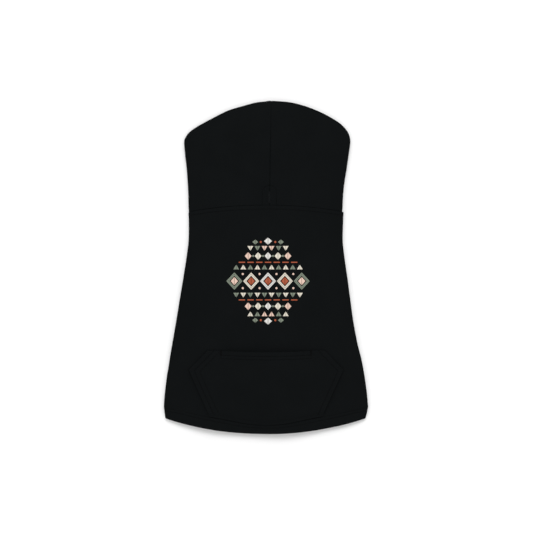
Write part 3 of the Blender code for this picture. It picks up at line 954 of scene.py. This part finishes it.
LEG_DOWN = 0.064
LEG_TO_SEAM = 0.008
LEG_WIDTH = 0.044
LEG_LENGTH = 0.062
BINDING_WIDTH = 0.010
BINDING_WALL = 0.0027


def belly_seam(side, down):
    """How far out the side seam lies on the underside."""
    return body_half(side, down) - body_wrap(down)


def leg_centre(side):
    down = LEG_DOWN / (BODY_LENGTH - NECK_DROOP - HEM_DROP)
    out = belly_seam(side, down) - LEG_TO_SEAM - BINDING_WIDTH - LEG_WIDTH / 2
    return side * float(out), float(body_side_y(down))


def leg_cutter(side):
    """An oval prism with room for the binding."""
    x, y = leg_centre(side)
    grown = BINDING_WIDTH + SEAM_GAP
    bm = bmesh.new()
    bmesh.ops.create_cone(
        bm, cap_ends=True, segments=96, radius1=1, radius2=1, depth=2 * LOFT, calc_uvs=False
    )
    bmesh.ops.scale(bm, vec=(LEG_WIDTH / 2 + grown, LEG_LENGTH / 2 + grown, 1), verts=bm.verts)
    bmesh.ops.translate(bm, vec=(x, y, 0), verts=bm.verts)
    mesh = bpy.data.meshes.new("leg_cutter")
    bm.to_mesh(mesh)
    bm.free()
    cutter = bpy.data.objects.new("leg_cutter", mesh)
    bpy.context.scene.collection.objects.link(cutter)
    return cutter


def plain_mesh(piece, name):
    """Turns the evaluated object, with its modifiers, into a plain mesh under a name."""
    graph = bpy.context.evaluated_depsgraph_get()
    mesh = bpy.data.meshes.new_from_object(piece.evaluated_get(graph))
    bpy.data.objects.remove(piece)
    mesh.name = name
    made = bpy.data.objects.new(name, mesh)
    bpy.context.scene.collection.objects.link(made)
    return made


rows = graded(neck_gap, 1.0, 0.7 * MM / BODY_LENGTH, 2.8 * MM / BODY_LENGTH, 0.012, 0.05)
shares = np.linspace(0, 1, 96)
down, share = np.meshgrid(rows, shares, indexing="ij")
right, left = belly_seam(1, down) - SEAM_GAP, belly_seam(-1, down) - SEAM_GAP
x = right - (right + left) * share
y = body_under_y(np.where(x >= 0, 1.0, -1.0), down, np.abs(x))
flat = np.stack([x, y, np.zeros_like(x)], axis=-1)
from_hem = (1 - down) * (BODY_LENGTH - NECK_DROOP - HEM_DROP - HEM_RISE_UNDER / 2)
from_side = np.minimum(share, 1 - share) * (right + left)
lift = rounded(from_side, 0.9 * MM) + rounded(from_hem, 1.0 * MM)
lift += rounded((down - neck_gap) * BODY_LENGTH, 1.0 * MM)
lift += sum(0.3 * MM * dent(from_hem - row * MM, GROOVE) for row in HEM_ROWS[-1][1:])
outer = flat + np.stack([np.zeros_like(x), np.zeros_like(x), lift], axis=-1)
thickness = BODY_WALL - rounded(from_hem, 1.0 * MM)
thickness += 0.25 * MM * (1 + wander(flat, 0.02, 5)) * smooth(from_side / 0.01) - 0.25 * MM
inner = flat + np.stack([np.zeros_like(x), np.zeros_like(x), thickness], axis=-1)
belly = cloth_wall("belly_uncut", outer, inner, np.stack([x, y], axis=-1))
cutters = [leg_cutter(side) for side in (-1, 1)]
for number, cutter in enumerate(cutters):
    cut = belly.modifiers.new(f"leg_opening_{number}", "BOOLEAN")
    cut.operation = "DIFFERENCE"
    cut.solver = "EXACT"
    cut.object = cutter
belly_piece = plain_mesh(belly, "belly_cloth")
for cutter in cutters:
    bpy.data.objects.remove(cutter)
belly_piece.data.set_sharp_from_angle(angle=math.radians(60))
finish_piece(belly_piece, FLEECE, "belly_panel")

# %% [markdown]
# ## Ribbed bindings
#
# A strip of rib knit is folded round the edge of each leg opening. Its ribs run across the strip,
# so they stand like the teeth of a round file. They are raised in the mesh itself: the strip's
# section is swept round an oval, and each turn's height follows a cosine.

# %% Make the bindings


def make_binding(side, name, node):
    x, y = leg_centre(side)
    around = 2 * math.pi * (LEG_WIDTH + LEG_LENGTH + 2 * BINDING_WIDTH) / 4
    ribs = round(around / RIB_PITCH)
    turns = np.arange(ribs * 6) / (ribs * 6) * 2 * math.pi
    rib = 0.5 + 0.5 * np.cos(ribs * turns)
    bend = BINDING_WALL / 2
    arc = np.linspace(-math.pi / 2, math.pi / 2, 9)
    width = np.concatenate([bend - bend * np.cos(arc), [4 * MM, 7 * MM, 9.2 * MM, BINDING_WIDTH]])
    width = np.concatenate([width, [BINDING_WIDTH, 9.2 * MM, 7 * MM, 4 * MM]])
    top = np.concatenate([bend + bend * np.sin(arc), [BINDING_WALL] * 3, [BINDING_WALL - 0.9 * MM]])
    height = np.concatenate([top, [0.5 * MM, 0.0, 0.0, 0.0]])
    upper_grooves = [0.35 * MM * np.ones(9), [0.35 * MM] * 2, [0.15 * MM, 0.0]]
    grooved = np.concatenate([*upper_grooves, [0, 0.1 * MM, 0.3 * MM, 0.3 * MM]])
    inward = np.where(height >= bend, -1.0, 1.0)
    sink = grooved[:, None] * (1 - rib)[None, :]
    tall = height[:, None] + inward[:, None] * sink
    out = width[:, None] + np.where(np.arange(len(width)) < 9, 1.0, 0.0)[:, None] * sink * 0.5
    points = np.stack(
        [
            x + (LEG_WIDTH / 2 + out) * np.cos(turns)[None, :],
            y + (LEG_LENGTH / 2 + out) * np.sin(turns)[None, :],
            tall,
        ],
        axis=-1,
    )
    sections, wide = points.shape[:2]
    index = np.arange(sections * wide).reshape(sections, wide)
    below, after = np.roll(index, -1, axis=0), np.roll(index, -1, axis=1)
    both = np.roll(below, -1, axis=1)
    faces = np.stack([index, after, both, below], axis=-1).reshape(-1, 4)
    mesh = bpy.data.meshes.new(name)
    mesh.from_pydata(points.reshape(-1, 3).tolist(), [], faces.tolist())
    mesh.shade_smooth()
    face_outwards(mesh)
    piece = bpy.data.objects.new(name, mesh)
    bpy.context.scene.collection.objects.link(piece)
    return finish_piece(piece, RIBBING, node, slot="black_rib")


make_binding(-1, "leg_ribbing_left", "leg_binding_left")
make_binding(1, "leg_ribbing_right", "leg_binding_right")

# %% [markdown]
# ## The pocket
#
# The pocket is a patch with six sides. Its edges are folded under and stitched down, twice on the left
# and once on the right, apart from the mouth along the top, which is hemmed with two rows and stands
# open between two bar tacks. It lies on the back, so its surface starts from the back's and rises a
# little towards the mouth.

# %% Make the pocket

POCKET_DROP = 0.193
POCKET_WIDTH = 0.206
POCKET_SAG = 0.002
POCKET_GAPE = 0.006
POCKET_WALL = 0.0020
POCKET_CLEARANCE = 0.0007
MOUTH_SHARE = 0.82
POCKET_OUTLINE = ((0.000, 0.730), (0.683, 1.000), (1.000, 0.753))
POCKET_STITCHES = {-1: (6.3 * MM, 12.6 * MM), 1: (6.3 * MM,)}
MOUTH_STITCHES = (5.9 * MM, 10.3 * MM)


def pocket_half(up):
    ups, widths = zip(*POCKET_OUTLINE)
    return POCKET_WIDTH / 2 * np.interp(up, ups, widths)


def pocket_plan(up, share):
    """A place on the pocket in the plan. share runs from -1 at the left to 1 at the right."""
    x = share * pocket_half(up)
    side = np.where(x >= 0, 1.0, -1.0)
    hem = np.ones(x.shape)
    bottom = body_upper_y(hem, np.abs(x) / body_half(side, hem)) + hem_row(1, x) + 0.6 * MM
    sag = POCKET_SAG * np.maximum(0.0, 1 - (share / MOUTH_SHARE) ** 2)
    return x, bottom + (NECK_Y - POCKET_DROP - sag - bottom) * up


def pocket_surface(up, share):
    """The pocket's outer face without its stitching, and its outward direction."""
    x, y = pocket_plan(up, share)
    down, across = place_on_back(x, y)
    full = np.maximum(0.0, 1 - (share / MOUTH_SHARE) ** 2) ** 1.5 * smooth(up / 0.6)
    offset = POCKET_CLEARANCE + POCKET_WALL + POCKET_GAPE * full
    normals = body_normal(down, across)
    return body_surface(down, across) + normals * offset[..., None], normals


def slanted_distance(x, y):
    """Distance inwards from the pocket's slanted and side edges, in the plan."""
    corners = []
    for up, width in POCKET_OUTLINE:
        px, py = pocket_plan(np.array([up]), np.array([1.0]))
        corners.append((POCKET_WIDTH / 2 * width, float(py[0])))
    distance = np.full(np.shape(x), 1.0)
    for (ax, ay), (bx, by) in zip(corners, corners[1:]):
        length = math.hypot(bx - ax, by - ay)
        inwards = ((by - ay) * (ax - np.abs(x)) + (bx - ax) * (y - ay)) / length
        distance = np.minimum(distance, inwards)
    return distance


def pocket_skin(up, share):
    points, normals = pocket_surface(up, share)
    x, y = pocket_plan(up, share)
    from_side = slanted_distance(x, y)
    mouth = pocket_plan(np.ones_like(up), share)[1]
    from_mouth = mouth - y
    bottom = pocket_plan(np.zeros_like(up), share)[1]
    from_bottom = y - bottom
    relief = 0.25 * MM * smooth((14.2 * MM - from_side) / (1.2 * MM))
    for side, rows in POCKET_STITCHES.items():
        for row, inwards in enumerate(rows):
            groove = stitch_groove(from_side - inwards, y + x * 0.3, 2.0 + row)
            relief += groove * (side * x > 0)
    in_mouth = smooth((from_side - 11 * MM) / (2 * MM))
    relief += 0.25 * MM * in_mouth * smooth((MOUTH_STITCHES[1] + 1.2 * MM - from_mouth) / (1.2 * MM))
    for row, depth in enumerate(MOUTH_STITCHES):
        relief += in_mouth * stitch_groove(from_mouth - depth, x, 3.0 + row)
    edge = np.minimum(from_side, from_mouth)
    fall = rounded(edge, 0.95 * MM)
    caught = smooth(1 - from_bottom / (9 * MM))
    fall = fall + (0.95 * MM - fall) * caught
    relief -= CAUGHT_STEP * caught
    relief += drape(points, 0.7) * smooth(np.minimum(edge, from_bottom) / (16 * MM))
    return points + normals * (relief - fall)[..., None], normals, fall


pocket_rows = graded(0.0, 1.0, 0.009, 0.016, 0.04, 0.20)[::-1]
pocket_shares = graded(-1.0, 1.0, 0.0055, 0.0125, 0.10, 0.10)
up, share = np.meshgrid(pocket_rows, pocket_shares, indexing="ij")
outer, normals, fall = pocket_skin(up, share)
inner = pocket_surface(up, share)[0] - normals * (POCKET_WALL - fall)[..., None]
uv = np.stack(pocket_plan(up, share), axis=-1)
pocket_piece = finish_piece(cloth_wall("pocket_cloth", outer, inner, uv), FLEECE_POCKET, "pocket")

# %% [markdown]
# ## Stitches
#
# A row of stitches is the same short piece of thread again and again along a line. Copies could be
# placed by a loop, but Geometry Nodes say it more plainly: the line is a curve, it is resampled at
# the stitch length, and one bent piece of thread is placed at each point, turned to the line and
# to the cloth. One tree serves every row, and its inputs are the sizes of the stitch.

# %% A node tree that sews along a line

SKINS = [
    (BVHTree.FromObject(piece, bpy.context.evaluated_depsgraph_get()), piece.name)
    for piece in (back_piece, hood_left_piece, hood_right_piece, pocket_piece)
]


def sewing_tree():
    tree = bpy.data.node_groups.new("sew_along", "GeometryNodeTree")
    face = tree.interface
    face.new_socket("Geometry", in_out="INPUT", socket_type="NodeSocketGeometry")
    for name, value in (("Pitch", 3 * MM), ("Length", 2.3 * MM), ("Thread", 0.24 * MM)):
        socket = face.new_socket(name, in_out="INPUT", socket_type="NodeSocketFloat")
        socket.default_value = value
    face.new_socket("Finish", in_out="INPUT", socket_type="NodeSocketMaterial")
    face.new_socket("Geometry", in_out="OUTPUT", socket_type="NodeSocketGeometry")

    def node(kind, settings=(), **links):
        made = tree.nodes.new(kind)
        for name, value in dict(settings).items():
            setattr(made, name, value)
        for name, source in links.items():
            target = made.inputs[name.replace("_", " ")]
            if hasattr(source, "is_output"):
                tree.links.new(source, target)
            else:
                target.default_value = source
        return made

    def times(socket, factor):
        made = node("ShaderNodeMath", {"operation": "MULTIPLY"})
        tree.links.new(socket, made.inputs[0])
        made.inputs[1].default_value = factor
        return made.outputs[0]

    given = tree.nodes.new("NodeGroupInput")
    path = node("GeometryNodeMeshToCurve", Mesh=given.outputs["Geometry"])
    spaced = node(
        "GeometryNodeResampleCurve",
        {"mode": "LENGTH"},
        Curve=path.outputs[0],
        Length=given.outputs["Pitch"],
    )
    tangent = node("GeometryNodeInputTangent")
    upward = node("GeometryNodeInputNamedAttribute", {"data_type": "FLOAT_VECTOR"}, Name="cloth_up")
    turn = node(
        "FunctionNodeAxesToRotation",
        {"primary_axis": "Z", "secondary_axis": "X"},
        Primary_Axis=upward.outputs[0],
        Secondary_Axis=tangent.outputs[0],
    )

    def corner(length_share, thread_share):
        made = node("ShaderNodeCombineXYZ")
        tree.links.new(times(given.outputs["Length"], length_share), made.inputs[0])
        tree.links.new(times(given.outputs["Thread"], thread_share), made.inputs[2])
        return made.outputs[0]

    arc = node(
        "GeometryNodeCurvePrimitiveBezierSegment",
        {"mode": "POSITION"},
        Resolution=6,
        Start=corner(-0.5, -1.3),
        Start_Handle=corner(-0.36, 0.85),
        End_Handle=corner(0.36, 0.85),
        End=corner(0.5, -1.3),
    )
    section = node(
        "GeometryNodeCurvePrimitiveCircle", {"mode": "RADIUS"}, Resolution=6,
        Radius=given.outputs["Thread"],
    )
    thread_mesh = node(
        "GeometryNodeCurveToMesh",
        Curve=arc.outputs[0],
        Profile_Curve=section.outputs[0],
        Fill_Caps=True,
    )
    copies = node(
        "GeometryNodeInstanceOnPoints",
        Points=spaced.outputs[0],
        Instance=thread_mesh.outputs[0],
        Rotation=turn.outputs[0],
    )
    real = node("GeometryNodeRealizeInstances", Geometry=copies.outputs[0])
    smooth_faces = node("GeometryNodeSetShadeSmooth", Geometry=real.outputs[0])
    painted = node(
        "GeometryNodeSetMaterial",
        Geometry=smooth_faces.outputs[0],
        Material=given.outputs["Finish"],
    )
    result = tree.nodes.new("NodeGroupOutput")
    tree.links.new(painted.outputs[0], result.inputs[0])
    return tree


SEWING = sewing_tree()

# The weight of the cloth presses thread on the underside flat against the floor.
LOWEST = 0.02 * MM


def input_key(tree, name):
    """The identifier of a tree's input, by which a modifier knows it."""
    items = tree.interface.items_tree
    return next(s.identifier for s in items if s.in_out == "INPUT" and s.name == name)


def sew(name, rows, pitch=STITCH_PITCH, length=2.35 * MM, thread_radius=0.24 * MM):
    """Sews along rows, each a list of points and a list of the cloth's upward directions."""
    points, edges, upward = [], [], []
    for row_points, row_up in rows:
        first = len(points)
        points.extend(np.asarray(row_points).tolist())
        upward.extend(np.asarray(row_up).tolist())
        edges.extend((i, i + 1) for i in range(first, len(points) - 1))
    mesh = bpy.data.meshes.new(name)
    mesh.from_pydata(points, edges, [])
    direction = mesh.attributes.new("cloth_up", "FLOAT_VECTOR", "POINT")
    direction.data.foreach_set("vector", np.array(upward, np.float32).ravel())
    line = bpy.data.objects.new(name + "_line", mesh)
    bpy.context.scene.collection.objects.link(line)
    sewing = line.modifiers.new("sew", "NODES")
    sewing.node_group = SEWING
    sewing[input_key(SEWING, "Pitch")] = pitch
    sewing[input_key(SEWING, "Length")] = length
    sewing[input_key(SEWING, "Thread")] = thread_radius
    sewing[input_key(SEWING, "Finish")] = THREAD
    sewn = plain_mesh(line, name)
    for vertex in sewn.data.vertices:
        vertex.co.z = max(vertex.co.z, LOWEST)
    return finish_piece(sewn, THREAD)


def on_skin(x, y):
    """Points on the uppermost cloth at places in the plan, with its upward directions."""
    points, upward = [], []
    for px, py in zip(np.ravel(x), np.ravel(y)):
        hits = [tree.ray_cast(Vector((px, py, 0.2)), Vector((0, 0, -1))) for tree, _ in SKINS]
        hits = [h for h in hits if h[0] is not None]
        best = max(hits, key=lambda h: h[0].z)
        points.append(best[0] + best[1] * 0.12 * MM)
        upward.append(best[1])
    return np.array(points), np.array(upward)


# %% Sew the neck, the hem and the leash opening

body_line = np.concatenate([-np.linspace(2.9, 0.02, 220), np.linspace(0.02, 2.9, 220)])


def body_row(down):
    """A row of stitches round the body at a place down it."""
    down = np.full(body_line.shape, down)
    points, normals = body_skin(down, body_line)[:2]
    return points + normals * 0.12 * MM, normals


sew("neck_topstitch", [body_row(NECK_STITCH / BODY_LENGTH)])


def hem_stitches(row):
    """A row round the hem, at its own height above the edge at every place."""
    reach = np.sin(np.minimum(np.abs(body_line), 1) * math.pi / 2) ** (2 / ROUNDING)
    length = BODY_LENGTH + (BODY_LENGTH - NECK_DROOP - HEM_DROP - BODY_LENGTH) * reach**BOW
    side = np.sign(body_line)
    down = 1 - hem_row(row, body_half(side, np.ones(len(side))) * reach, body_line) / length
    points, normals = body_skin(down, body_line)[:2]
    return points + normals * 0.12 * MM, normals


sew("hem_twin_stitch", [hem_stitches(row) for row in (0, 1)])

turns = np.linspace(0, math.pi, 40)
leg_rise = np.linspace(2.0 * MM, ARCH_TOP - ARCH_HALF_WIDTH, 12)
arch_x = SEAM_SHIFT + ARCH_HALF_WIDTH * np.concatenate([np.ones(11), np.cos(turns), -np.ones(11)])
arch_y = NECK_Y + np.concatenate(
    [leg_rise[:-1], ARCH_TOP - ARCH_HALF_WIDTH + ARCH_HALF_WIDTH * np.sin(turns), leg_rise[-2::-1]]
)
sew("leash_opening_stitch", [on_skin(arch_x, arch_y + 1 * MM)])

# %% Sew the face opening and the leg openings

face_rows = []
for side in (-1, 1):
    up = np.linspace(0.02, 0.985, 160)
    wrap = FACE_WRAP * read(HOOD_HEIGHT, 2, up) - EDGE / 2
    for inwards in FACE_STITCHES:
        points, normals, _ = hood_skin(side, up, 3 - inwards / wrap)
        face_rows.append((points + normals * 0.12 * MM, normals))
sew("face_opening_stitch", face_rows)

leg_rows = []
for side in (-1, 1):
    x, y = leg_centre(side)
    turns = np.linspace(0, 2 * math.pi, 121)
    out = BINDING_WIDTH - 2.2 * MM
    ring = np.stack(
        [
            x + (LEG_WIDTH / 2 + out) * np.cos(turns),
            y + (LEG_LENGTH / 2 + out) * np.sin(turns),
            np.full(turns.shape, 0.36 * MM),
        ],
        axis=-1,
    )
    leg_rows.append((ring, np.broadcast_to([0.0, 0.0, -1.0], ring.shape)))
sew("leg_binding_stitch", leg_rows)

# %% Turned lips of the leash opening


def make_lips():
    """Two thin rolls of the cloth's brushed back, turned out along the opening."""
    steps, around = 44, 10
    share = np.linspace(0, 1, steps)
    y = NECK_Y + SLIT_START + 0.3 * MM + (SLIT_LENGTH - 0.6 * MM) * share
    full = np.sqrt(np.clip(1 - (2 * share - 1) ** 4, 0.03, 1))
    middle_x = SEAM_SHIFT + 0.1 * MM * np.sin(y * 900)
    middle, _ = on_skin(middle_x - 0.9 * MM, y)
    points, faces = [], []
    for side in (-1, 1):
        first = len(points)
        for i in range(steps):
            roll = (0.66 + 0.05 * math.sin(i * 0.9 + side)) * MM * full[i]
            for k in range(around):
                turn = 2 * math.pi * k / around
                points.append(
                    (
                        middle_x[i] + side * 0.62 * MM + roll * math.cos(turn),
                        y[i],
                        middle[i, 2] - 0.34 * MM + roll * math.sin(turn),
                    )
                )
        for i in range(steps - 1):
            for k in range(around):
                a, b = first + i * around + k, first + i * around + (k + 1) % around
                faces.append((a, b, b + around, a + around))
        faces.append(tuple(first + k for k in reversed(range(around))))
        faces.append(tuple(first + (steps - 1) * around + k for k in range(around)))
    mesh = bpy.data.meshes.new("leash_opening_lips")
    mesh.from_pydata(points, [], faces)
    face_outwards(mesh)
    mesh.shade_smooth()
    piece = bpy.data.objects.new("leash_opening_lips", mesh)
    bpy.context.scene.collection.objects.link(piece)
    return finish_piece(piece, FLEECE_BACK)


make_lips()

# %% Sew the pocket


def pocket_row(inwards):
    """A row along the slanted and side edges of one side, in the plan."""
    corners = []
    for up, width in POCKET_OUTLINE:
        py = pocket_plan(np.array([up]), np.array([1.0]))[1]
        corners.append(np.array([POCKET_WIDTH / 2 * width, float(py[0])]))
    lines = []
    for a, b in zip(corners, corners[1:]):
        run = (b - a) / np.linalg.norm(b - a)
        normal = np.array([-run[1], run[0]])
        lines.append((a + normal * inwards, run))
    (a, run_a), (b, run_b) = lines
    share = np.linalg.solve(np.stack([run_a, -run_b], axis=1), b - a)
    bend = a + run_a * share[0]
    start = a + run_a * (1.2 * MM)
    top = corners[-1][1] - 1.2 * MM
    end = b + run_b * ((top - b[1]) / run_b[1])
    first = start + (bend - start) * np.linspace(0, 1, 30)[:, None]
    second = bend + (end - bend) * np.linspace(0, 1, 24)[1:, None]
    return np.concatenate([first, second])


MOUTH_STITCH_END = 59.6 * MM
TACK_OUT = 59.8 * MM
pocket_rows_sewn = []
for side, rows in POCKET_STITCHES.items():
    for inwards in rows:
        plan = pocket_row(inwards)
        pocket_rows_sewn.append(on_skin(side * plan[:, 0], plan[:, 1]))
for depth in MOUTH_STITCHES:
    x = np.linspace(-MOUTH_STITCH_END, MOUTH_STITCH_END, 140)
    top = NECK_Y - POCKET_DROP
    sag = POCKET_SAG * np.maximum(0, 1 - (x / pocket_half(1.0) / MOUTH_SHARE) ** 2)
    pocket_rows_sewn.append(on_skin(x, top - sag - depth))
sew("pocket_stitch", pocket_rows_sewn)

tack_rows = []
for side in (-1, 1):
    for step in np.linspace(-0.9, 0.9, 7) * MM:
        x = np.full(8, side * TACK_OUT + step)
        y = NECK_Y - POCKET_DROP - np.linspace(1.0 * MM, 6.6 * MM, 8)
        tack_rows.append(on_skin(x, y))
sew("pocket_bar_tacks", tack_rows, pitch=1.9 * MM, length=2.2 * MM, thread_radius=0.2 * MM)

# %% [markdown]
# ## The printed picture
#
# The picture on the back is a transfer print: a thin, slightly rubbery film pressed onto the knit.
# It could be painted by the material, but real edges are crisper and follow the folds, so each
# tile of the pattern is a thin plate of its own, cut fine and laid down on the cloth. The pattern
# is plain: level bands of lozenges, triangles, bars and dots, mirrored about the middle band.

# %% Inks and tiles

PRINT_CENTRE = (2.7 * MM, -18.4 * MM)
FILM = 0.15 * MM
INKS = {
    "cream": (0.66, 0.61, 0.51),
    "sage": (0.175, 0.205, 0.155),
    "blush": (0.69, 0.49, 0.40),
    "clay": (0.34, 0.070, 0.024),
    "chalk": (0.65, 0.635, 0.60),
}


def ink(name, colour):
    finish = Finish("ink_" + name, roughness=0.6, metallic=0.0)
    finish.shader.inputs["Specular IOR Level"].default_value = 0.3
    place = finish.add("ShaderNodeTexCoord", output="Object")
    fleck = finish.grain(place, 0.0012, 3.0)
    patch = finish.grain(place, 0.012, 2.0)
    worn = [c * 0.82 for c in colour] + [1.0]
    finish.wear("Base Color", finish.mix(fleck * 0.6 + patch * 0.5, worn, (*colour, 1.0)))
    finish.wear("Roughness", 0.5 + fleck * 0.2)
    finish.wear("Normal", finish.bump(fleck, 0.00012, 0.4))
    return finish.material


VEIN = 0.17
FRAME_INSIDE = 0.62


def tile_outlines(kind, wide, tall):
    """Outlines round the tile's own middle. A fine line of bare cloth parts a tile in halves."""
    if kind == "lozenge":
        return [[(s * wide, 0), (s * VEIN, tall), (s * VEIN, -tall)] for s in (1, -1)]
    if kind == "dot":
        return [[(wide * math.cos(t), tall * math.sin(t)) for t in np.arange(12) * math.pi / 6]]
    if kind == "triangle":
        return [[(s * wide, -tall), (s * VEIN, tall), (s * VEIN, -tall)] for s in (1, -1)]
    if kind == "frame side":
        middle = (1 + FRAME_INSIDE) / 2
        gap = VEIN / 10
        bands = ((1, middle + gap), (middle - gap, FRAME_INSIDE))
        return [[(wide * a, 0), (0, tall * a), (0, tall * b), (wide * b, 0)] for a, b in bands]
    return [[(-wide, -tall), (wide, -tall), (wide, tall), (-wide, tall)]]


def mirrored(rows):
    """Repeats rows above the middle below it, upside down."""
    return [(c, k, w, t * s, x, y * s) for c, k, w, t, x, y in rows for s in (1, -1)]


def band_pattern():
    """Every tile of the picture: ink, kind, half width, half height and place, in millimetres."""
    tiles = []
    outside = ("sage", "cream", "chalk", "cream", "sage")
    inside = ("blush", "clay", "clay", "clay", "blush")
    for step, (frame_ink, middle_ink) in enumerate(zip(outside, inside)):
        x = (step - 2) * 22.4
        for wide in (10.6, -10.6):
            for tall in (11.6, -11.6):
                tiles.append((frame_ink, "frame side", wide, tall, x, 0))
        tiles.append((middle_ink, "lozenge", 4.9, 5.4, x, 0))
    for step in range(4):
        tiles += mirrored([("blush", "dot", 1.5, 1.5, (step - 1.5) * 22.4, 9.4)])
    for step in range(10):
        colour = ("sage", "cream")[step % 2]
        tiles += mirrored([(colour, "triangle", 3.9, 3.1, (step - 4.5) * 9.4, 18.6)])
    for step in range(7):
        tiles += mirrored([("clay", "bar", 4.3, 0.75, (step - 3) * 11.6, 25.0)])
    for step in range(5):
        colour = ("blush", "cream", "chalk", "cream", "blush")[step]
        tiles += mirrored([(colour, "lozenge", 4.6, 5.0, (step - 2) * 13.2, 33.4)])
    for step in range(4):
        tiles += mirrored([("sage", "dot", 1.4, 1.4, (step - 1.5) * 13.2, 33.4)])
    for step in range(6):
        colour = ("cream", "sage", "blush")[step if step < 3 else 5 - step]
        tiles += mirrored([(colour, "triangle", 3.9, -3.1, (step - 2.5) * 9.4, 43.6)])
    tiles += mirrored([("chalk", "lozenge", 5.4, 4.6, 0, 53.2)])
    for side in (-1, 1):
        tiles += mirrored([("clay", "dot", 1.5, 1.5, side * 9.6, 52.0)])
        tiles += mirrored([("sage", "lozenge", 4.0, 3.2, side * 17.0, 52.0)])
    return tiles


def lay_tiles(name, colour, tiles):
    """One thin plate for each tile of an ink, cut fine and laid on the back."""
    bm = bmesh.new()
    for _, kind, wide, tall, across, up in tiles:
        for outline in tile_outlines(kind, wide, tall):
            corners = [
                bm.verts.new((PRINT_CENTRE[0] + (across + x) * MM, PRINT_CENTRE[1] + (up + y) * MM, 0))
                for x, y in outline
            ]
            made = bm.faces.new(corners)
            made.normal_update()
            if made.normal.z < 0:
                made.normal_flip()
    bmesh.ops.triangulate(bm, faces=bm.faces)
    for _ in range(3):
        long_edges = [e for e in bm.edges if e.calc_length() > 2.4 * MM]
        bmesh.ops.subdivide_edges(bm, edges=long_edges, cuts=1, use_grid_fill=True)
        bmesh.ops.triangulate(bm, faces=bm.faces)
    plan = np.array([v.co for v in bm.verts])
    down, across = place_on_back(plan[:, 0], plan[:, 1])
    points, normals = body_skin(down, across)[:2]
    for vert, point, normal in zip(bm.verts, points, normals):
        vert.co = point + normal * 0.12 * MM
    mesh = bpy.data.meshes.new(name)
    bm.to_mesh(mesh)
    bm.free()
    mesh.shade_smooth()
    sheet = bpy.data.objects.new(name + "_sheet", mesh)
    bpy.context.scene.collection.objects.link(sheet)
    film = sheet.modifiers.new("film", "SOLIDIFY")
    film.thickness = FILM
    film.offset = -1
    piece = plain_mesh(sheet, name)
    piece.data.materials.clear()
    piece.data.materials.append(ink(name, colour))
    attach(piece, ROOT)
    print(name, "has", len(tiles), "tiles and", count_triangles(piece), "triangles")
    return piece


# %% Lay the picture

pattern = band_pattern()
for name, colour in INKS.items():
    lay_tiles("print_" + name, colour, [tile for tile in pattern if tile[0] == name])

# %% [markdown]
# ## Floor, light and camera
#
# The hoodie lies on a pale, almost white floor under one broad soft light and a white surround. The
# light comes from above and a little from beyond the hood, so that the folds show and a soft narrow
# shadow falls along the near side. The camera looks straight down from three metres, which keeps
# the outline free of perspective.

# %% Make the floor

FLOOR_HALF = 3.0
floor_mesh = bpy.data.meshes.new("floor")
corners = [(-FLOOR_HALF, -FLOOR_HALF), (FLOOR_HALF, -FLOOR_HALF), (FLOOR_HALF, FLOOR_HALF)]
corners.append((-FLOOR_HALF, FLOOR_HALF))
floor_mesh.from_pydata([(x, y, float(solid_box[0][2])) for x, y in corners], [], [(0, 1, 2, 3)])
floor = bpy.data.objects.new("floor", floor_mesh)
bpy.context.scene.collection.objects.link(floor)
paper = Finish("pale_floor", roughness=0.9, metallic=0.0)
paper.shader.inputs["Specular IOR Level"].default_value = 0.1
paper_place = paper.add("ShaderNodeTexCoord", output="Object")
paper.wear(
    "Base Color",
    paper.mix(paper.grain(paper_place, 0.6), (0.86, 0.86, 0.86, 1), (0.885, 0.885, 0.885, 1)),
)
floor_mesh.materials.append(paper.material)

# %% Light

SURROUND_STRENGTH = 0.965
KEY_PLACE = (0, 1.1, 2.9)
KEY_SIZE = 1.3
KEY_POWER = 37

scene = bpy.context.scene
scene.view_settings.view_transform = "Standard"
scene.view_settings.look = "None"
world = bpy.data.worlds.new("surround")
world.use_nodes = True
world.node_tree.nodes["Background"].inputs["Color"].default_value = (1.0, 1.0, 1.0, 1.0)
world.node_tree.nodes["Background"].inputs["Strength"].default_value = SURROUND_STRENGTH
scene.world = world


def lamp(name, place, target, size, power):
    light = bpy.data.lights.new(name, "AREA")
    light.shape = "DISK"
    light.size = size
    light.energy = power
    made = bpy.data.objects.new(name, light)
    made.location = place
    made.rotation_euler = (Vector(target) - Vector(place)).to_track_quat("-Z", "Y").to_euler()
    scene.collection.objects.link(made)
    return made


lamp("key_light", KEY_PLACE, (0, 0, 0), KEY_SIZE, KEY_POWER)

# %% Camera

CAMERA_HEIGHT = 3.0
SILHOUETTE_HEIGHT = 0.0055
FIELD = 0.713
CAMERA_SHIFT = (0.00067, 0.0010)
camera_data = bpy.data.cameras.new("camera")
camera_data.sensor_width = 36.0
camera_data.lens = 36.0 * CAMERA_HEIGHT / FIELD
camera = bpy.data.objects.new("camera", camera_data)
camera.location = (*CAMERA_SHIFT, CAMERA_HEIGHT + SILHOUETTE_HEIGHT)
scene.collection.objects.link(camera)
scene.camera = camera
